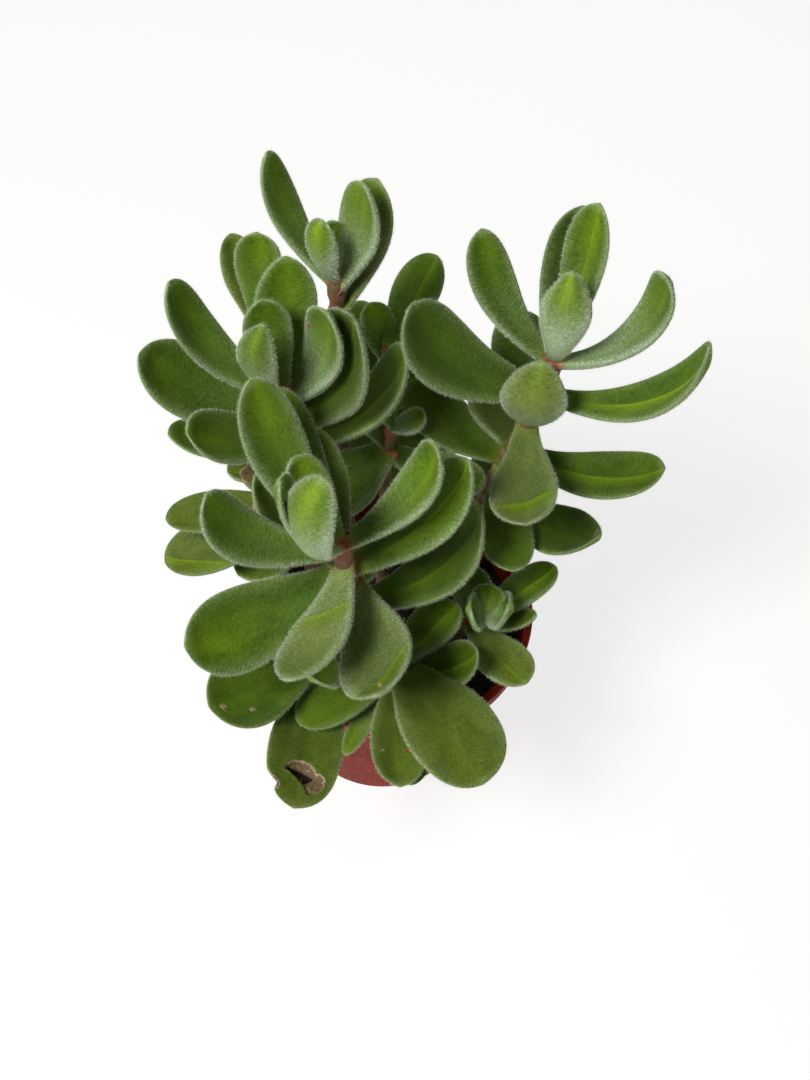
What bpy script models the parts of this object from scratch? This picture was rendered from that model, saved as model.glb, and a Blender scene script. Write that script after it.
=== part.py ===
"""Potted crassula: a velvety succulent with paired spoon-shaped leaves, in a round nursery pot.

Ten leafy stems stand in the soil of a tapered plastic pot. The leaves sit on their stem in
opposite pairs, each pair turned about a quarter turn from the last, and the low old leaves
are the largest. Metres, +Z up, with the origin at the middle of the pot's flat base.
"""

import math
from collections import namedtuple

import bmesh
import bpy
from mathutils import Vector

MM = 0.001

# Pot, in millimetres
POT_HEIGHT = 70.0
RIM_RADIUS = 42.5
BASE_RADIUS = 29.0
WALL = 1.2
FLOOR = 1.6
BAND_HEIGHT = 6.0
BAND_STEP = 1.3
LIP_RADIUS = 0.7
POT_STEPS = 40
DRAIN_COUNT = 6
DRAIN_RADIUS = 3.0
DRAIN_CIRCLE = 19.0

# Soil
SOIL_TOP = 58.0
SOIL_RINGS = 6
SOIL_SECTORS = 28
SOIL_RISE = 1.2
GAP = 0.3

# Leaf and stem shape
LEAF_SIDES = 8
LEAF_RINGS = 8
SMALL_LEAF = 21.0
SMALL_SIDES = 6
SMALL_RINGS = 7
SPINE_STEPS = 24
WIDEST_AT = 0.64
NECK_SHARE = 0.36
CUP = 0.14
TOP_SHARE = 0.35
ROOT_SUNK = 0.8
STEM_RINGS = 10

# A leaf: its bearing from above, its slope at the root, how far it bends up towards its tip,
# length, width, roll about its own length, how far its bearing swings on the way out, and how
# late the bend comes: 1 is even, and more puts it nearer the tip.
# Angles are in degrees and sizes in millimetres.
Leaf = namedtuple("Leaf", "bearing slope bend length width roll swing late", defaults=(0, 0, 1))

# A stem: the way its axis runs from below the soil to its tip, its thickness there, and its
# leaves by the height of the node that they grow from.
Stem = namedtuple("Stem", "route foot_radius tip_radius nodes")

STEMS = {
    "tall_back_stem": Stem(
        ((-13, 18, 46), (-18, 23, 115), (-20.5, 20.5, 181)), 2.5, 1.8,
        (
            (179, (Leaf(218, 49, 57, 22, 9, 20), Leaf(135, 65, 25, 17, 8))),
            (177, (Leaf(150, 30, 60, 38, 10, 0, 2, 1.3),)),
            (176, (Leaf(30, 58, 40, 32, 13, 22, -10),)),
            (167, (Leaf(50, 50, 40, 38, 14, 0, 5),)),
            (125, (Leaf(85, 15, 25, 34, 15),)),
            (92, (Leaf(105, 5, 25, 26, 14),)),
        ),
    ),
    "left_stem": Stem(
        ((-20, 3, 46), (-27, 6, 105), (-32, 7, 156)), 2.5, 1.7,
        (
            (152, (Leaf(224, 48, 90, 31, 11, 8, 22, 1.8),)),
            (153, (Leaf(133, 60, 24, 27, 12, -20),)),
            (150, (Leaf(94, 44, 42, 38, 15, 10), Leaf(170, 15, 68, 45, 12, -15))),
            (149, (Leaf(14, 28, 75, 34, 16, 9, 20, 0.8),)),
            (146, (Leaf(187, 5, 50, 42, 19, -20),)),
            (141, (Leaf(230, 8, 46, 36, 15, -23, -11),)),
            (139, (Leaf(18, 34, 55, 43, 23, 28, -12, 0.7),)),
            (135, (Leaf(205, 5, 35, 35, 13),)),
            (133, (Leaf(12, 4, 82, 46, 17, -9, 18),)),
            (127, (Leaf(205, -10, 25, 19, 10),)),
            (108, (Leaf(195, -2, 0, 38, 13, -5),)),
            (106, (Leaf(150, 5, 10, 22, 12), Leaf(206, -26, 26, 42, 18))),
            (90, (Leaf(214, -3, 10, 24, 15, 5, 8),)),
        ),
    ),
    "back_left_stem": Stem(
        ((-22, 15, 46), (-27, 20, 74), (-37, 29, 112), (-42, 31, 153)), 1.9, 1.5,
        (
            (152, (Leaf(90, 50, 42, 25, 12),)),
            (147, (Leaf(125, 45, 20, 27, 10),)),
            (136, (Leaf(35, 5, 30, 21, 12),)),
            (115, (Leaf(95, 5, 25, 28, 15),)),
            (100, (Leaf(150, 0, 30, 32, 15),)),
        ),
    ),
    "middle_stem": Stem(
        ((-2, 28, 46), (-6, 34, 105), (-7, 36, 141)), 2.0, 1.5,
        (
            (139, (Leaf(78, 19, 32, 30, 14, -5, -26, 1.2),)),
            (133, (Leaf(124, 48, 4, 19, 10, -4, 7),)),
            (117, (Leaf(50, 10, 30, 28, 14), Leaf(165, 10, 30, 24, 14))),
            (104, (Leaf(350, 5, 45, 32, 15),)),
            (102, (Leaf(180, 0, 15, 20, 16),)),
            (91, (Leaf(345, 5, 30, 26, 15), Leaf(90, 0, 30, 28, 14))),
        ),
    ),
    "front_stem": Stem(
        ((-3, -10, 46), (-8, -20, 97), (-13.5, -27, 138)), 2.7, 2.0,
        (
            (138, (
                Leaf(231, 23, 113, 39, 14, 5, 3),
                Leaf(142, 41, 29, 27, 13, -1, 5, 1.3),
                Leaf(27, 15, 85, 41, 13, -5, 12, 1.5),
            )),
            (137, (Leaf(197, 45, 45, 34, 12, -10, -11, 1.4),)),
            (135, (Leaf(144, 29, 51, 52, 15, -11), Leaf(202, 18, 76, 48, 13, -32, -12, 1.8))),
            (131, (Leaf(126, 22, 41, 46, 12, 3),)),
            (129, (Leaf(272, -26, 34, 36, 16, 25, -42),)),
            (126, (Leaf(158, 15, 50, 35, 14),)),
            (124, (Leaf(26, 8, 76, 48, 16, 11, 4), Leaf(117, 27, 35, 38, 13, 3, 4))),
            (123, (Leaf(210, -26, 60, 49, 21, -38, 17),)),
            (115, (Leaf(305, -23, 52, 36, 22, 38, -30),)),
            (102, (Leaf(20, -15, 104, 52, 20, 0, 0, 0.7),)),
        ),
    ),
    "right_stem": Stem(
        ((14, 12, 46), (24, 18, 105), (31, 17, 140), (33, 10, 172)), 2.7, 2.0,
        (
            (171, (Leaf(268, 63, 62, 28, 12, -14), Leaf(45, 60, 30, 21, 9))),
            (170, (Leaf(158, 21, 59, 39, 11, -20, -25, 1.3), Leaf(352, 12, 108, 42, 13, -15, 57, 1.6))),
            (168, (Leaf(66, 47, 50, 44, 12, -28, 17),)),
            (163, (Leaf(82, 28, 54, 43, 15, 14, 5),)),
            (154, (Leaf(184, 11, 67, 48, 18, -38, 0, 1.4), Leaf(341, -2, 94, 57, 13, 15, -5))),
            (143, (Leaf(263, 32, 88, 37, 16, 5, -6, 1.3),)),
            (142, (Leaf(107, 21, 22, 28, 16, -5),)),
            (138, (Leaf(270, -10, 45, 41, 17, 15),)),
            (126, (Leaf(335, -15, 65, 45, 15, 10, 15), Leaf(118, -5, 30, 22, 14))),
            (121, (Leaf(160, -3, 40, 35, 16, -12, -6, 0.8),)),
            (119, (Leaf(272, -30, 60, 37, 15, -5, 8, 1.2),)),
            (107, (Leaf(321, -3, 68, 45, 16, 16, -5, 1.4),)),
            (96, (Leaf(75, 0, 30, 27, 15),)),
            (88, (Leaf(20, 0, 30, 25, 14),)),
        ),
    ),
    "low_front_stem": Stem(
        ((2, -22, 46), (3, -28, 75), (5, -30, 90)), 2.2, 1.7,
        (
            (88, (Leaf(61, -4, 28, 24, 16, -21, -18),)),
            (84, (Leaf(306, 25, -37, 44, 26, -5),)),
            (81, (Leaf(355, -17, 88, 29, 13, 11, 12, 0.7),)),
            (80, (Leaf(216, 2, -4, 32, 14),)),
            (79, (Leaf(274, 1, 17, 38, 15, -3, 6),)),
            (75, (Leaf(284, 0, 5, 34, 13),)),
            (70, (Leaf(242, 20, -18, 30, 6, 0, 12),)),
        ),
    ),
    "low_left_stem": Stem(
        ((-11, -18, 46), (-14, -25, 75), (-16, -29, 92)), 2.2, 1.7,
        (
            (89, (Leaf(216, -7, 38, 40, 21, -22, 14), Leaf(258, 10, 30, 16, 15, -25))),
            (76, (Leaf(256, -1, 8, 47, 21, -18, 15),)),
        ),
    ),
    "middle_shoot": Stem(
        ((-3, 11, 46), (-5, 18, 98), (-4.5, 19, 129)), 1.9, 1.4,
        (
            (128, (Leaf(5, 20, 16, 11, 9), Leaf(150, 55, 30, 10, 6))),
            (118, (
                Leaf(224, -14, -6, 26, 23, 12),
                Leaf(336, -10, 38, 31, 14, 10, -4),
                Leaf(140, 35, 30, 20, 10),
            )),
            (92, (Leaf(254, -11, 4, 26, 13, 25, 10),)),
        ),
    ),
    "right_shoot": Stem(
        ((18, -4, 46), (22, -8, 72), (26.5, -13, 89)), 1.8, 1.3,
        (
            (88, (
                Leaf(75, 35, 40, 11, 10),
                Leaf(350, 20, 70, 13, 12),
                Leaf(218, 42, 30, 12, 11, -30),
            )),
            (84, (Leaf(38, 5, 19, 28, 12, -12),)),
            (79, (
                Leaf(301, 6, 8, 27, 15, -3, 15),
                Leaf(357, 6, 43, 21, 8, -12),
                Leaf(98, 5, 23, 18, 13, 20),
            )),
        ),
    ),
}

# Finishes: colour, roughness, metallic
TERRACOTTA = ("terracotta_plastic", (0.50, 0.10, 0.06), 0.45, 0.0)
POTTING_SOIL = ("potting_soil", (0.035, 0.024, 0.018), 0.95, 0.0)
VELVET_LEAF = ("velvet_leaf", (0.12, 0.28, 0.06), 0.75, 0.0)


def clear_scene():
    """Removes everything that the file opened with."""
    for obj in list(bpy.data.objects):
        bpy.data.objects.remove(obj, do_unlink=True)


def new_collection(name):
    """A collection linked to the scene."""
    collection = bpy.data.collections.new(name)
    bpy.context.scene.collection.children.link(collection)
    return collection


def material(finish):
    """A plain material from a name, a colour, a roughness and a metallic value."""
    name, colour, roughness, metallic = finish
    made = bpy.data.materials.new(name)
    made.use_nodes = True
    shader = made.node_tree.nodes["Principled BSDF"]
    shader.inputs["Base Color"].default_value = (*colour, 1.0)
    shader.inputs["Roughness"].default_value = roughness
    shader.inputs["Metallic"].default_value = metallic
    return made


def new_object(name, mesh, collection, finish=None):
    """A mesh object in a collection, with its finish."""
    obj = bpy.data.objects.new(name, mesh)
    collection.objects.link(obj)
    if finish is not None:
        mesh.materials.append(finish)
    return obj


def mesh_from(bm, name):
    """A mesh datablock from a bmesh, with its faces turned outwards."""
    bmesh.ops.recalc_face_normals(bm, faces=bm.faces)
    mesh = bpy.data.meshes.new(name)
    bm.to_mesh(mesh)
    bm.free()
    return mesh


def apply_modifiers(obj):
    """Gives the object the mesh that its modifiers make."""
    graph = bpy.context.evaluated_depsgraph_get()
    made = bpy.data.meshes.new_from_object(obj.evaluated_get(graph))
    old = obj.data
    obj.modifiers.clear()
    obj.data = made
    bpy.data.meshes.remove(old)


def wall_radius(height):
    """Outer radius of the pot's tapered wall below its band."""
    band_foot = POT_HEIGHT - BAND_HEIGHT
    return BASE_RADIUS + (RIM_RADIUS - BAND_STEP - BASE_RADIUS) * height / band_foot


def lip_arc(centre, start, stop, count):
    """Points of the rolled lip, from one angle to another."""
    points = []
    for k in range(count + 1):
        angle = math.radians(start + (stop - start) * k / count)
        along, rise = LIP_RADIUS * math.cos(angle), LIP_RADIUS * math.sin(angle)
        points.append((centre[0] + along, centre[1] + rise))
    return points


def pot_profile():
    """The pot's section at +X, down its outer side and back up inside, as radius and height."""
    band_foot = POT_HEIGHT - BAND_HEIGHT
    inner_rim = RIM_RADIUS - BAND_STEP - WALL
    lip = POT_HEIGHT - LIP_RADIUS
    foot_round = 1.0
    outer = [
        *lip_arc((RIM_RADIUS - LIP_RADIUS, lip), 90, 0, 3),
        (RIM_RADIUS - 0.3, band_foot + 0.4),
        (RIM_RADIUS - 0.7, band_foot),
        (wall_radius(band_foot), band_foot),
        (wall_radius(foot_round), foot_round),
        (BASE_RADIUS - foot_round, 0.0),
        (0.0, 0.0),
    ]
    inner = [
        (0.0, FLOOR),
        (BASE_RADIUS - WALL - foot_round, FLOOR),
        (wall_radius(FLOOR + foot_round) - WALL, FLOOR + foot_round),
        (inner_rim, band_foot + 0.8),
        *lip_arc((inner_rim + LIP_RADIUS, lip), 180, 90, 3),
    ]
    return outer + inner


def make_pot(parts, cutters, finish):
    """A thin tapered pot turned from its section, with drain holes round its floor."""
    bm = bmesh.new()
    ring = [bm.verts.new((r * MM, 0.0, z * MM)) for r, z in pot_profile()]
    for a, b in zip(ring, ring[1:] + ring[:1]):
        if a.co.x > 0.0 or b.co.x > 0.0:
            bm.edges.new((a, b))
    mesh = bpy.data.meshes.new("pot")
    bm.to_mesh(mesh)
    bm.free()
    pot = new_object("pot", mesh, parts, finish)
    turn = pot.modifiers.new("turn", "SCREW")
    turn.steps = POT_STEPS
    turn.render_steps = POT_STEPS
    turn.use_merge_vertices = True
    turn.merge_threshold = 0.00001
    turn.use_smooth_shade = True
    apply_modifiers(pot)
    for k in range(DRAIN_COUNT):
        angle = 2.0 * math.pi * (k + 0.5) / DRAIN_COUNT
        bm = bmesh.new()
        bmesh.ops.create_cone(
            bm, cap_ends=True, segments=16, radius1=DRAIN_RADIUS * MM, radius2=DRAIN_RADIUS * MM,
            depth=3.0 * FLOOR * MM,
        )
        place = Vector((math.cos(angle), math.sin(angle), 0.0)) * DRAIN_CIRCLE * MM
        bmesh.ops.translate(bm, verts=bm.verts, vec=place)
        new_object("drain_cutter", mesh_from(bm, "drain_cutter"), cutters)
    cut_with(pot, cutters)
    pot.data.set_sharp_from_angle(angle=math.radians(35))
    return pot


def cut_with(obj, cutters):
    """Cuts every object of a collection out of one, and then removes the cutters."""
    for cutter in cutters.objects:
        cutter.hide_render = True
        cutter.display_type = "WIRE"
    cut = obj.modifiers.new("cut", "BOOLEAN")
    cut.operation = "DIFFERENCE"
    cut.operand_type = "COLLECTION"
    cut.collection = cutters
    apply_modifiers(obj)
    for cutter in list(cutters.objects):
        bpy.data.objects.remove(cutter, do_unlink=True)


def soil_height(x, y):
    """How far the soil's surface stands above or below its mean, in millimetres."""
    ripple = math.sin(0.31 * x + 1.7) * math.cos(0.27 * y - 0.6)
    crumb = 0.5 * math.sin(0.71 * x - 0.4 * y)
    return SOIL_RISE * 0.6 * (ripple + crumb)


def make_soil(parts, cutters, finish):
    """The pot's filling: a tapered plug with an uneven top and a hole for each stem's foot."""
    foot = FLOOR + GAP
    edge = wall_radius(SOIL_TOP) - WALL - GAP
    bottom_edge = BASE_RADIUS - WALL - 1.0 - GAP
    shoulder = foot + 1.0
    bm = bmesh.new()
    rings = []
    for k in range(1, SOIL_RINGS + 1):
        radius = edge * k / SOIL_RINGS
        fade = 1.0 - (k / SOIL_RINGS) ** 4
        rings.append([(radius, SOIL_TOP, fade)] * SOIL_SECTORS)
    rings.append([(wall_radius(shoulder) - WALL - GAP, shoulder, 0.0)] * SOIL_SECTORS)
    rings.append([(bottom_edge, foot, 0.0)] * SOIL_SECTORS)
    loops = []
    for ring in rings:
        loop = []
        for j, (radius, height, fade) in enumerate(ring):
            angle = 2.0 * math.pi * j / SOIL_SECTORS
            x, y = radius * math.cos(angle), radius * math.sin(angle)
            loop.append(bm.verts.new(Vector((x, y, height + fade * soil_height(x, y))) * MM))
        loops.append(loop)
    top = bm.verts.new(Vector((0.0, 0.0, SOIL_TOP + soil_height(0.0, 0.0))) * MM)
    for j in range(SOIL_SECTORS):
        k = (j + 1) % SOIL_SECTORS
        bm.faces.new((top, loops[0][j], loops[0][k]))
        for upper, lower in zip(loops, loops[1:]):
            bm.faces.new((upper[j], lower[j], lower[k], upper[k]))
    bm.faces.new(loops[-1])
    soil = new_object("soil", mesh_from(bm, "soil"), parts, finish)
    for name, stem in STEMS.items():
        curve = smooth_route(stem.route)
        above = next(k for k, p in enumerate(curve) if p.z > SOIL_TOP + 3.0)
        hole = curve[:above + 1]
        hole[0] = hole[0] + (hole[0] - hole[1]).normalized() * GAP
        radii = [stem.foot_radius + GAP] * len(hole)
        new_object(f"{name}_hole", tube_mesh(hole, radii), cutters)
    cut_with(soil, cutters)
    return soil


def keep_largest(obj):
    """Drops every loose scrap and every shell sealed inside, leaving the one main surface."""
    bm = bmesh.new()
    bm.from_mesh(obj.data)
    left = set(bm.verts)
    islands = []
    while left:
        island, to_visit = set(), [left.pop()]
        while to_visit:
            vert = to_visit.pop()
            island.add(vert)
            for edge in vert.link_edges:
                other = edge.other_vert(vert)
                if other in left:
                    left.remove(other)
                    to_visit.append(other)
        islands.append(island)
    main_one = max(islands, key=len)
    scraps = [v for island in islands if island is not main_one for v in island]
    bmesh.ops.delete(bm, geom=scraps, context="VERTS")
    bm.to_mesh(obj.data)
    bm.free()


def smooth_route(route):
    """A smooth curve through a stem's points, read off at even steps, in millimetres."""
    points = [Vector(p) for p in route]
    points = [2 * points[0] - points[1], *points, 2 * points[-1] - points[-2]]
    spans = len(points) - 3
    curve = []
    for k in range(STEM_RINGS + 1):
        span, t = divmod(k * spans / STEM_RINGS, 1.0)
        if span == spans:
            span, t = spans - 1, 1.0
        a, b, c, d = points[int(span):int(span) + 4]
        curve.append(0.5 * (
            2 * b + (c - a) * t + (2 * a - 5 * b + 4 * c - d) * t * t + (3 * b - a - 3 * c + d) * t ** 3
        ))
    return curve


def tube_mesh(axis, radii, sides=LEAF_SIDES):
    """A closed round tube along an axis, from a cylinder primitive bent ring by ring."""
    bm = bmesh.new()
    bmesh.ops.create_cone(bm, cap_ends=True, segments=sides, radius1=1.0, radius2=1.0, depth=1.0)
    rails = [edge for edge in bm.edges if abs(edge.verts[0].co.z - edge.verts[1].co.z) > 0.5]
    bmesh.ops.subdivide_edges(bm, edges=rails, cuts=len(axis) - 2, use_grid_fill=True)
    for vert in bm.verts:
        k = round((vert.co.z + 0.5) * (len(axis) - 1))
        ahead = axis[min(k + 1, len(axis) - 1)] - axis[max(k - 1, 0)]
        frame = ahead.to_track_quat("Z", "Y")
        around = frame @ Vector((vert.co.x, vert.co.y, 0.0)).normalized()
        vert.co = (axis[k] + around * radii[k]) * MM
    return mesh_from(bm, "tube")


def at_height(curve, height):
    """The point of a stem's axis at a height, and the axis's direction there."""
    for a, b in zip(curve, curve[1:]):
        if b.z >= height:
            return a.lerp(b, (height - a.z) / (b.z - a.z))
    return curve[-1].copy()


def half_width(share, width):
    """Half of a leaf's width at a share of its length: a neck, a broad blade and a round tip."""
    rise = min(share / WIDEST_AT, 1.0)
    grow = NECK_SHARE + (1.0 - NECK_SHARE) * rise * rise * (3.0 - 2.0 * rise)
    past = max(0.0, (share - WIDEST_AT) / (1.0 - WIDEST_AT))
    return 0.5 * width * grow * max(0.0, 1.0 - past ** 2.3) ** 0.58


def thickness(share, leaf):
    """A leaf's thickness at a share of its length: fleshy, and thin only at the tip."""
    full = 2.2 + 0.09 * leaf.width if leaf.width > 9 else 0.32 * leaf.width
    swell = 0.75 + 0.25 * math.sin(math.pi * min(share / 0.8, 1.0))
    thin = 1.0 - 0.8 * max(0.0, (share - 0.75) / 0.25) ** 3
    return full * swell * thin


def spine(leaf, root):
    """The leaf's midline from its root, as points, forward directions and bearings."""
    points, forwards, bearings = [root], [], []
    step = leaf.length / SPINE_STEPS
    for k in range(SPINE_STEPS + 1):
        share = k / SPINE_STEPS
        slope = math.radians(leaf.slope + leaf.bend * share ** leaf.late)
        bearing = math.radians(leaf.bearing + leaf.swing * share)
        level = math.cos(slope)
        forwards.append(Vector((level * math.cos(bearing), level * math.sin(bearing), math.sin(slope))))
        bearings.append(bearing)
    for k in range(SPINE_STEPS):
        points.append(points[-1] + (forwards[k] + forwards[k + 1]) * 0.5 * step)
    return points, forwards, bearings


def leaf_mesh(leaf, root):
    """A fleshy leaf: a sphere primitive whose rings are laid along the leaf's midline."""
    small = leaf.length < SMALL_LEAF
    sides = SMALL_SIDES if small else LEAF_SIDES
    rings = SMALL_RINGS if small else LEAF_RINGS
    points, forwards, bearings = spine(leaf, root)
    roll = math.radians(leaf.roll)
    bm = bmesh.new()
    bmesh.ops.create_uvsphere(bm, u_segments=sides, v_segments=rings, radius=1.0)
    for vert in bm.verts:
        even = 1.0 - math.acos(max(-1.0, min(1.0, vert.co.z))) / math.pi
        share = even - 0.1 * math.sin(2.0 * math.pi * even)
        place = share * SPINE_STEPS
        k = min(int(place), SPINE_STEPS - 1)
        mix = place - k
        middle = points[k].lerp(points[k + 1], mix)
        forward = forwards[k].lerp(forwards[k + 1], mix).normalized()
        bearing = bearings[k] + (bearings[k + 1] - bearings[k]) * mix
        side = Vector((-math.sin(bearing), math.cos(bearing), 0.0))
        up = forward.cross(side)
        across = side * math.cos(roll) + up * math.sin(roll)
        above = up * math.cos(roll) - side * math.sin(roll)
        flat = Vector((vert.co.x, vert.co.y))
        c, s = flat.normalized() if flat.length > 1e-4 else (0.0, 0.0)
        half = half_width(share, leaf.width)
        thick = min(thickness(share, leaf), 2.0 * half + 0.3) if half > 0.0 else 0.0
        lift = TOP_SHARE * thick * s if s > 0.0 else (1.0 - TOP_SHARE) * thick * s
        lift += CUP * half * c * c
        vert.co = (middle + across * (c * half) + above * lift) * MM
    return mesh_from(bm, "leaf")


def make_stem(name, stem, parts, finish):
    """A stem with all its leaves joined to it as one body."""
    curve = smooth_route(stem.route)
    span = curve[-1].z - curve[0].z
    radii = []
    for p in curve:
        share = (p.z - curve[0].z) / span
        radii.append(stem.foot_radius + (stem.tip_radius - stem.foot_radius) * share)
    body = new_object(name, tube_mesh(curve, radii), parts, finish)
    leaves = new_collection(f"{name}_leaves")
    for height, grown in stem.nodes:
        for leaf in grown:
            bearing = math.radians(leaf.bearing)
            outward = Vector((math.cos(bearing), math.sin(bearing), 0.0))
            root = at_height(curve, height) - outward * ROOT_SUNK
            new_object("leaf", leaf_mesh(leaf, root), leaves)
    join = body.modifiers.new("join", "BOOLEAN")
    join.operation = "UNION"
    join.operand_type = "COLLECTION"
    join.collection = leaves
    join.solver = "EXACT"
    apply_modifiers(body)
    for leaf in list(leaves.objects):
        bpy.data.objects.remove(leaf, do_unlink=True)
    bpy.data.collections.remove(leaves)
    keep_largest(body)
    body.data.shade_smooth()
    return body


def main():
    """Builds the pot, its soil and the leafy stems."""
    clear_scene()
    parts = new_collection("potted_crassula")
    cutters = new_collection("cutters")
    make_pot(parts, cutters, material(TERRACOTTA))
    make_soil(parts, cutters, material(POTTING_SOIL))
    leaf_finish = material(VELVET_LEAF)
    for name, stem in STEMS.items():
        make_stem(name, stem, parts, leaf_finish)


main()
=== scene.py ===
"""The potted crassula dressed for its picture: fleshy velvet leaves with real hairs, brown-red
stems with swollen nodes, crumbly soil and a thin brick-red nursery pot.
"""

import math
from collections import namedtuple

import bmesh
import bpy
import numpy as np
from mathutils import Matrix, Vector


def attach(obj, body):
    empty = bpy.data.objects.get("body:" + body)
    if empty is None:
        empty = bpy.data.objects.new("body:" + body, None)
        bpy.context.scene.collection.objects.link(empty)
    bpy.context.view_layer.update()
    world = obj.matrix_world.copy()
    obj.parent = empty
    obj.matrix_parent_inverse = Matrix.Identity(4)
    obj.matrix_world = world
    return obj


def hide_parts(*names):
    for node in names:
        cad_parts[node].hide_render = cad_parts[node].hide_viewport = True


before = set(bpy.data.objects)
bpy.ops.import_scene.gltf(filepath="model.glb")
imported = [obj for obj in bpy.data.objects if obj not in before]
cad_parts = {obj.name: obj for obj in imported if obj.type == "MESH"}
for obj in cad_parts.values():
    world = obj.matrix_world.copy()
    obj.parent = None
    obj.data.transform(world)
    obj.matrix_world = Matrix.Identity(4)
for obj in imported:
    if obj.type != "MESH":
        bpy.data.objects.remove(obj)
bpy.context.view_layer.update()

MM = 0.001

# The photograph's size, and the camera that it was taken with, in pixels, degrees and millimetres
PHOTO_WIDTH = 810
PHOTO_HEIGHT = 1080
FOCAL_PIXELS = 1300
LOOK_DOWN = 56
LEAN_OF_FRAME = 6
RIM_HEIGHT = 70
RIM_PIXEL = (391, 602)
RIM_DISTANCE = 387
SENSOR = 36.0
NEAREST_SEEN = 0.01

# The studio, in metres and watts: a light has a name, a place, a size, a power and a colour
FLOOR_SIZE = 12.0
SKY_STRENGTH = 0.11
LIT_POINT = (0, 0, 0.1)
LIGHTS = (
    ("window", (-0.42, -0.45, 0.88), 0.36, 8.3, (1.0, 0.985, 0.95)),
    ("room", (0.3, 0.8, 0.7), 0.8, 1.6, (1.0, 1.0, 1.0)),
)

# Pot, in millimetres
POT_HEIGHT = 70.0
RIM_RADIUS = 42.5
BASE_RADIUS = 29.0
WALL = 1.2
FLOOR = 1.6
BAND_HEIGHT = 6.0
BAND_STEP = 1.3
LIP_RADIUS = 0.7
BAND_ROUND = 0.55
STEP_ROUND = 0.25
FOOT_ROUND = 1.0
POT_STEPS = 144
POT_CREASE = 40
DRAIN_COUNT = 6
DRAIN_RADIUS = 3.0
DRAIN_CIRCLE = 19.0
DRAIN_SIDES = 32

# Soil, in millimetres: what is strewn over it has an amount for each square millimetre, a smallest
# and a largest size and a seed, and is squashed between two shares and roughened by fine noise
SOIL_TOP = 58.0
SOIL_RISE = 1.2
SOIL_SLACK = 0.15
SOIL_RINGS = 46
SOIL_SECTORS = 150
GAP = 0.3
CRUMBS = (0.45, 0.25, 1.05, 3)
GRIT = (0.02, 0.3, 0.8, 9)
SQUASH = (0.6, 0.6, 0.35), (1.3, 1.1, 0.8)
CLOD_GRAIN = 1400.0
CLOD_LUMPS = 0.0012

# Leaf and stem shape, in millimetres and shares of a leaf's length or width
WIDEST_AT = 0.64
NECK_SHARE = 0.36
CUP = 0.17
TOP_SHARE = 0.35
ROOT_SUNK = 0.8
TIP_REACH = 0.12
SPINE_STEPS = 120
BLUNT = 0.15
STEM_SIDES = 18
STEM_STEP = 0.9
SCAR_STEP = 7.5

# What makes a leaf or stem old, in millimetres: how far it is below its stem's tip, and by how
# much a leaf has outgrown a bud. Leaves of an age still differ a little in their green.
OLD_LEAF_BELOW_TIP = 70.0
OLD_STEM_BELOW_TIP = 75.0
BUD_LENGTH = 10.0
OLD_LEAF_GROWTH = 22.0
TONE_SCATTER = 0.12

# Seeds, and how far the patterns of two leaves, of two stems and of a leaf's sides lie apart
LEAF_SEED = 1000
STEM_SEED = 300
LEAVES_PER_STEM = 30
LEAF_SHIFT = 7.3
STEM_SHIFT = 11.0
BELOW_SHIFT = 40.0
SIDE_SHIFT = 3.1

# Hairs, in metres, with how far they stray to each side and how their lengths differ
HAIRS = {
    "Hairs per square metre": 4.4e6, "Hair length": 0.00066, "Hair radius": 0.000028, "Lean": 0.75,
}
STRAY = (-0.45, -0.45, -0.45), (0.45, 0.45, 0.45)
HAIR_SIZES = (0.55, 1.15)

# A leaf: the height of its node, its bearing from above, its slope at the root, how far it bends
# up towards its tip, length, width, roll about its own length, how far its bearing swings on the
# way out, and how late the bend comes: 1 is even, and more puts it nearer the tip. Angles are in
# degrees and sizes in millimetres.
LEAF_FIELDS = "height bearing slope bend length width roll swing late"
Leaf = namedtuple("Leaf", LEAF_FIELDS, defaults=(0, 0, 1))

# A stem: the way its axis runs from below the soil to its tip, its radius at both ends, and its
# leaves, those at its tip first
Stem = namedtuple("Stem", "route foot_radius tip_radius leaves")

# How a leaf looks: its number, its age from 0 to 1, its marks, how pointed it is, its painted
# light and shade from -1 (shaded, deeper green) to 1 (lit, paler green), how frosted and how olive
# it is from 0 to 1, its painted bright fold if it has one, and whether the painted light along its
# middle hardly shows
Look = namedtuple("Look", "number age marks point tone frost olive folded even")

# A leaf's surface, as arrays: share of its length, cosine and sine of the turn round it, half of
# its width, and places along and across it in millimetres
Grid = namedtuple("Grid", "sh c s half along across")

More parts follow.
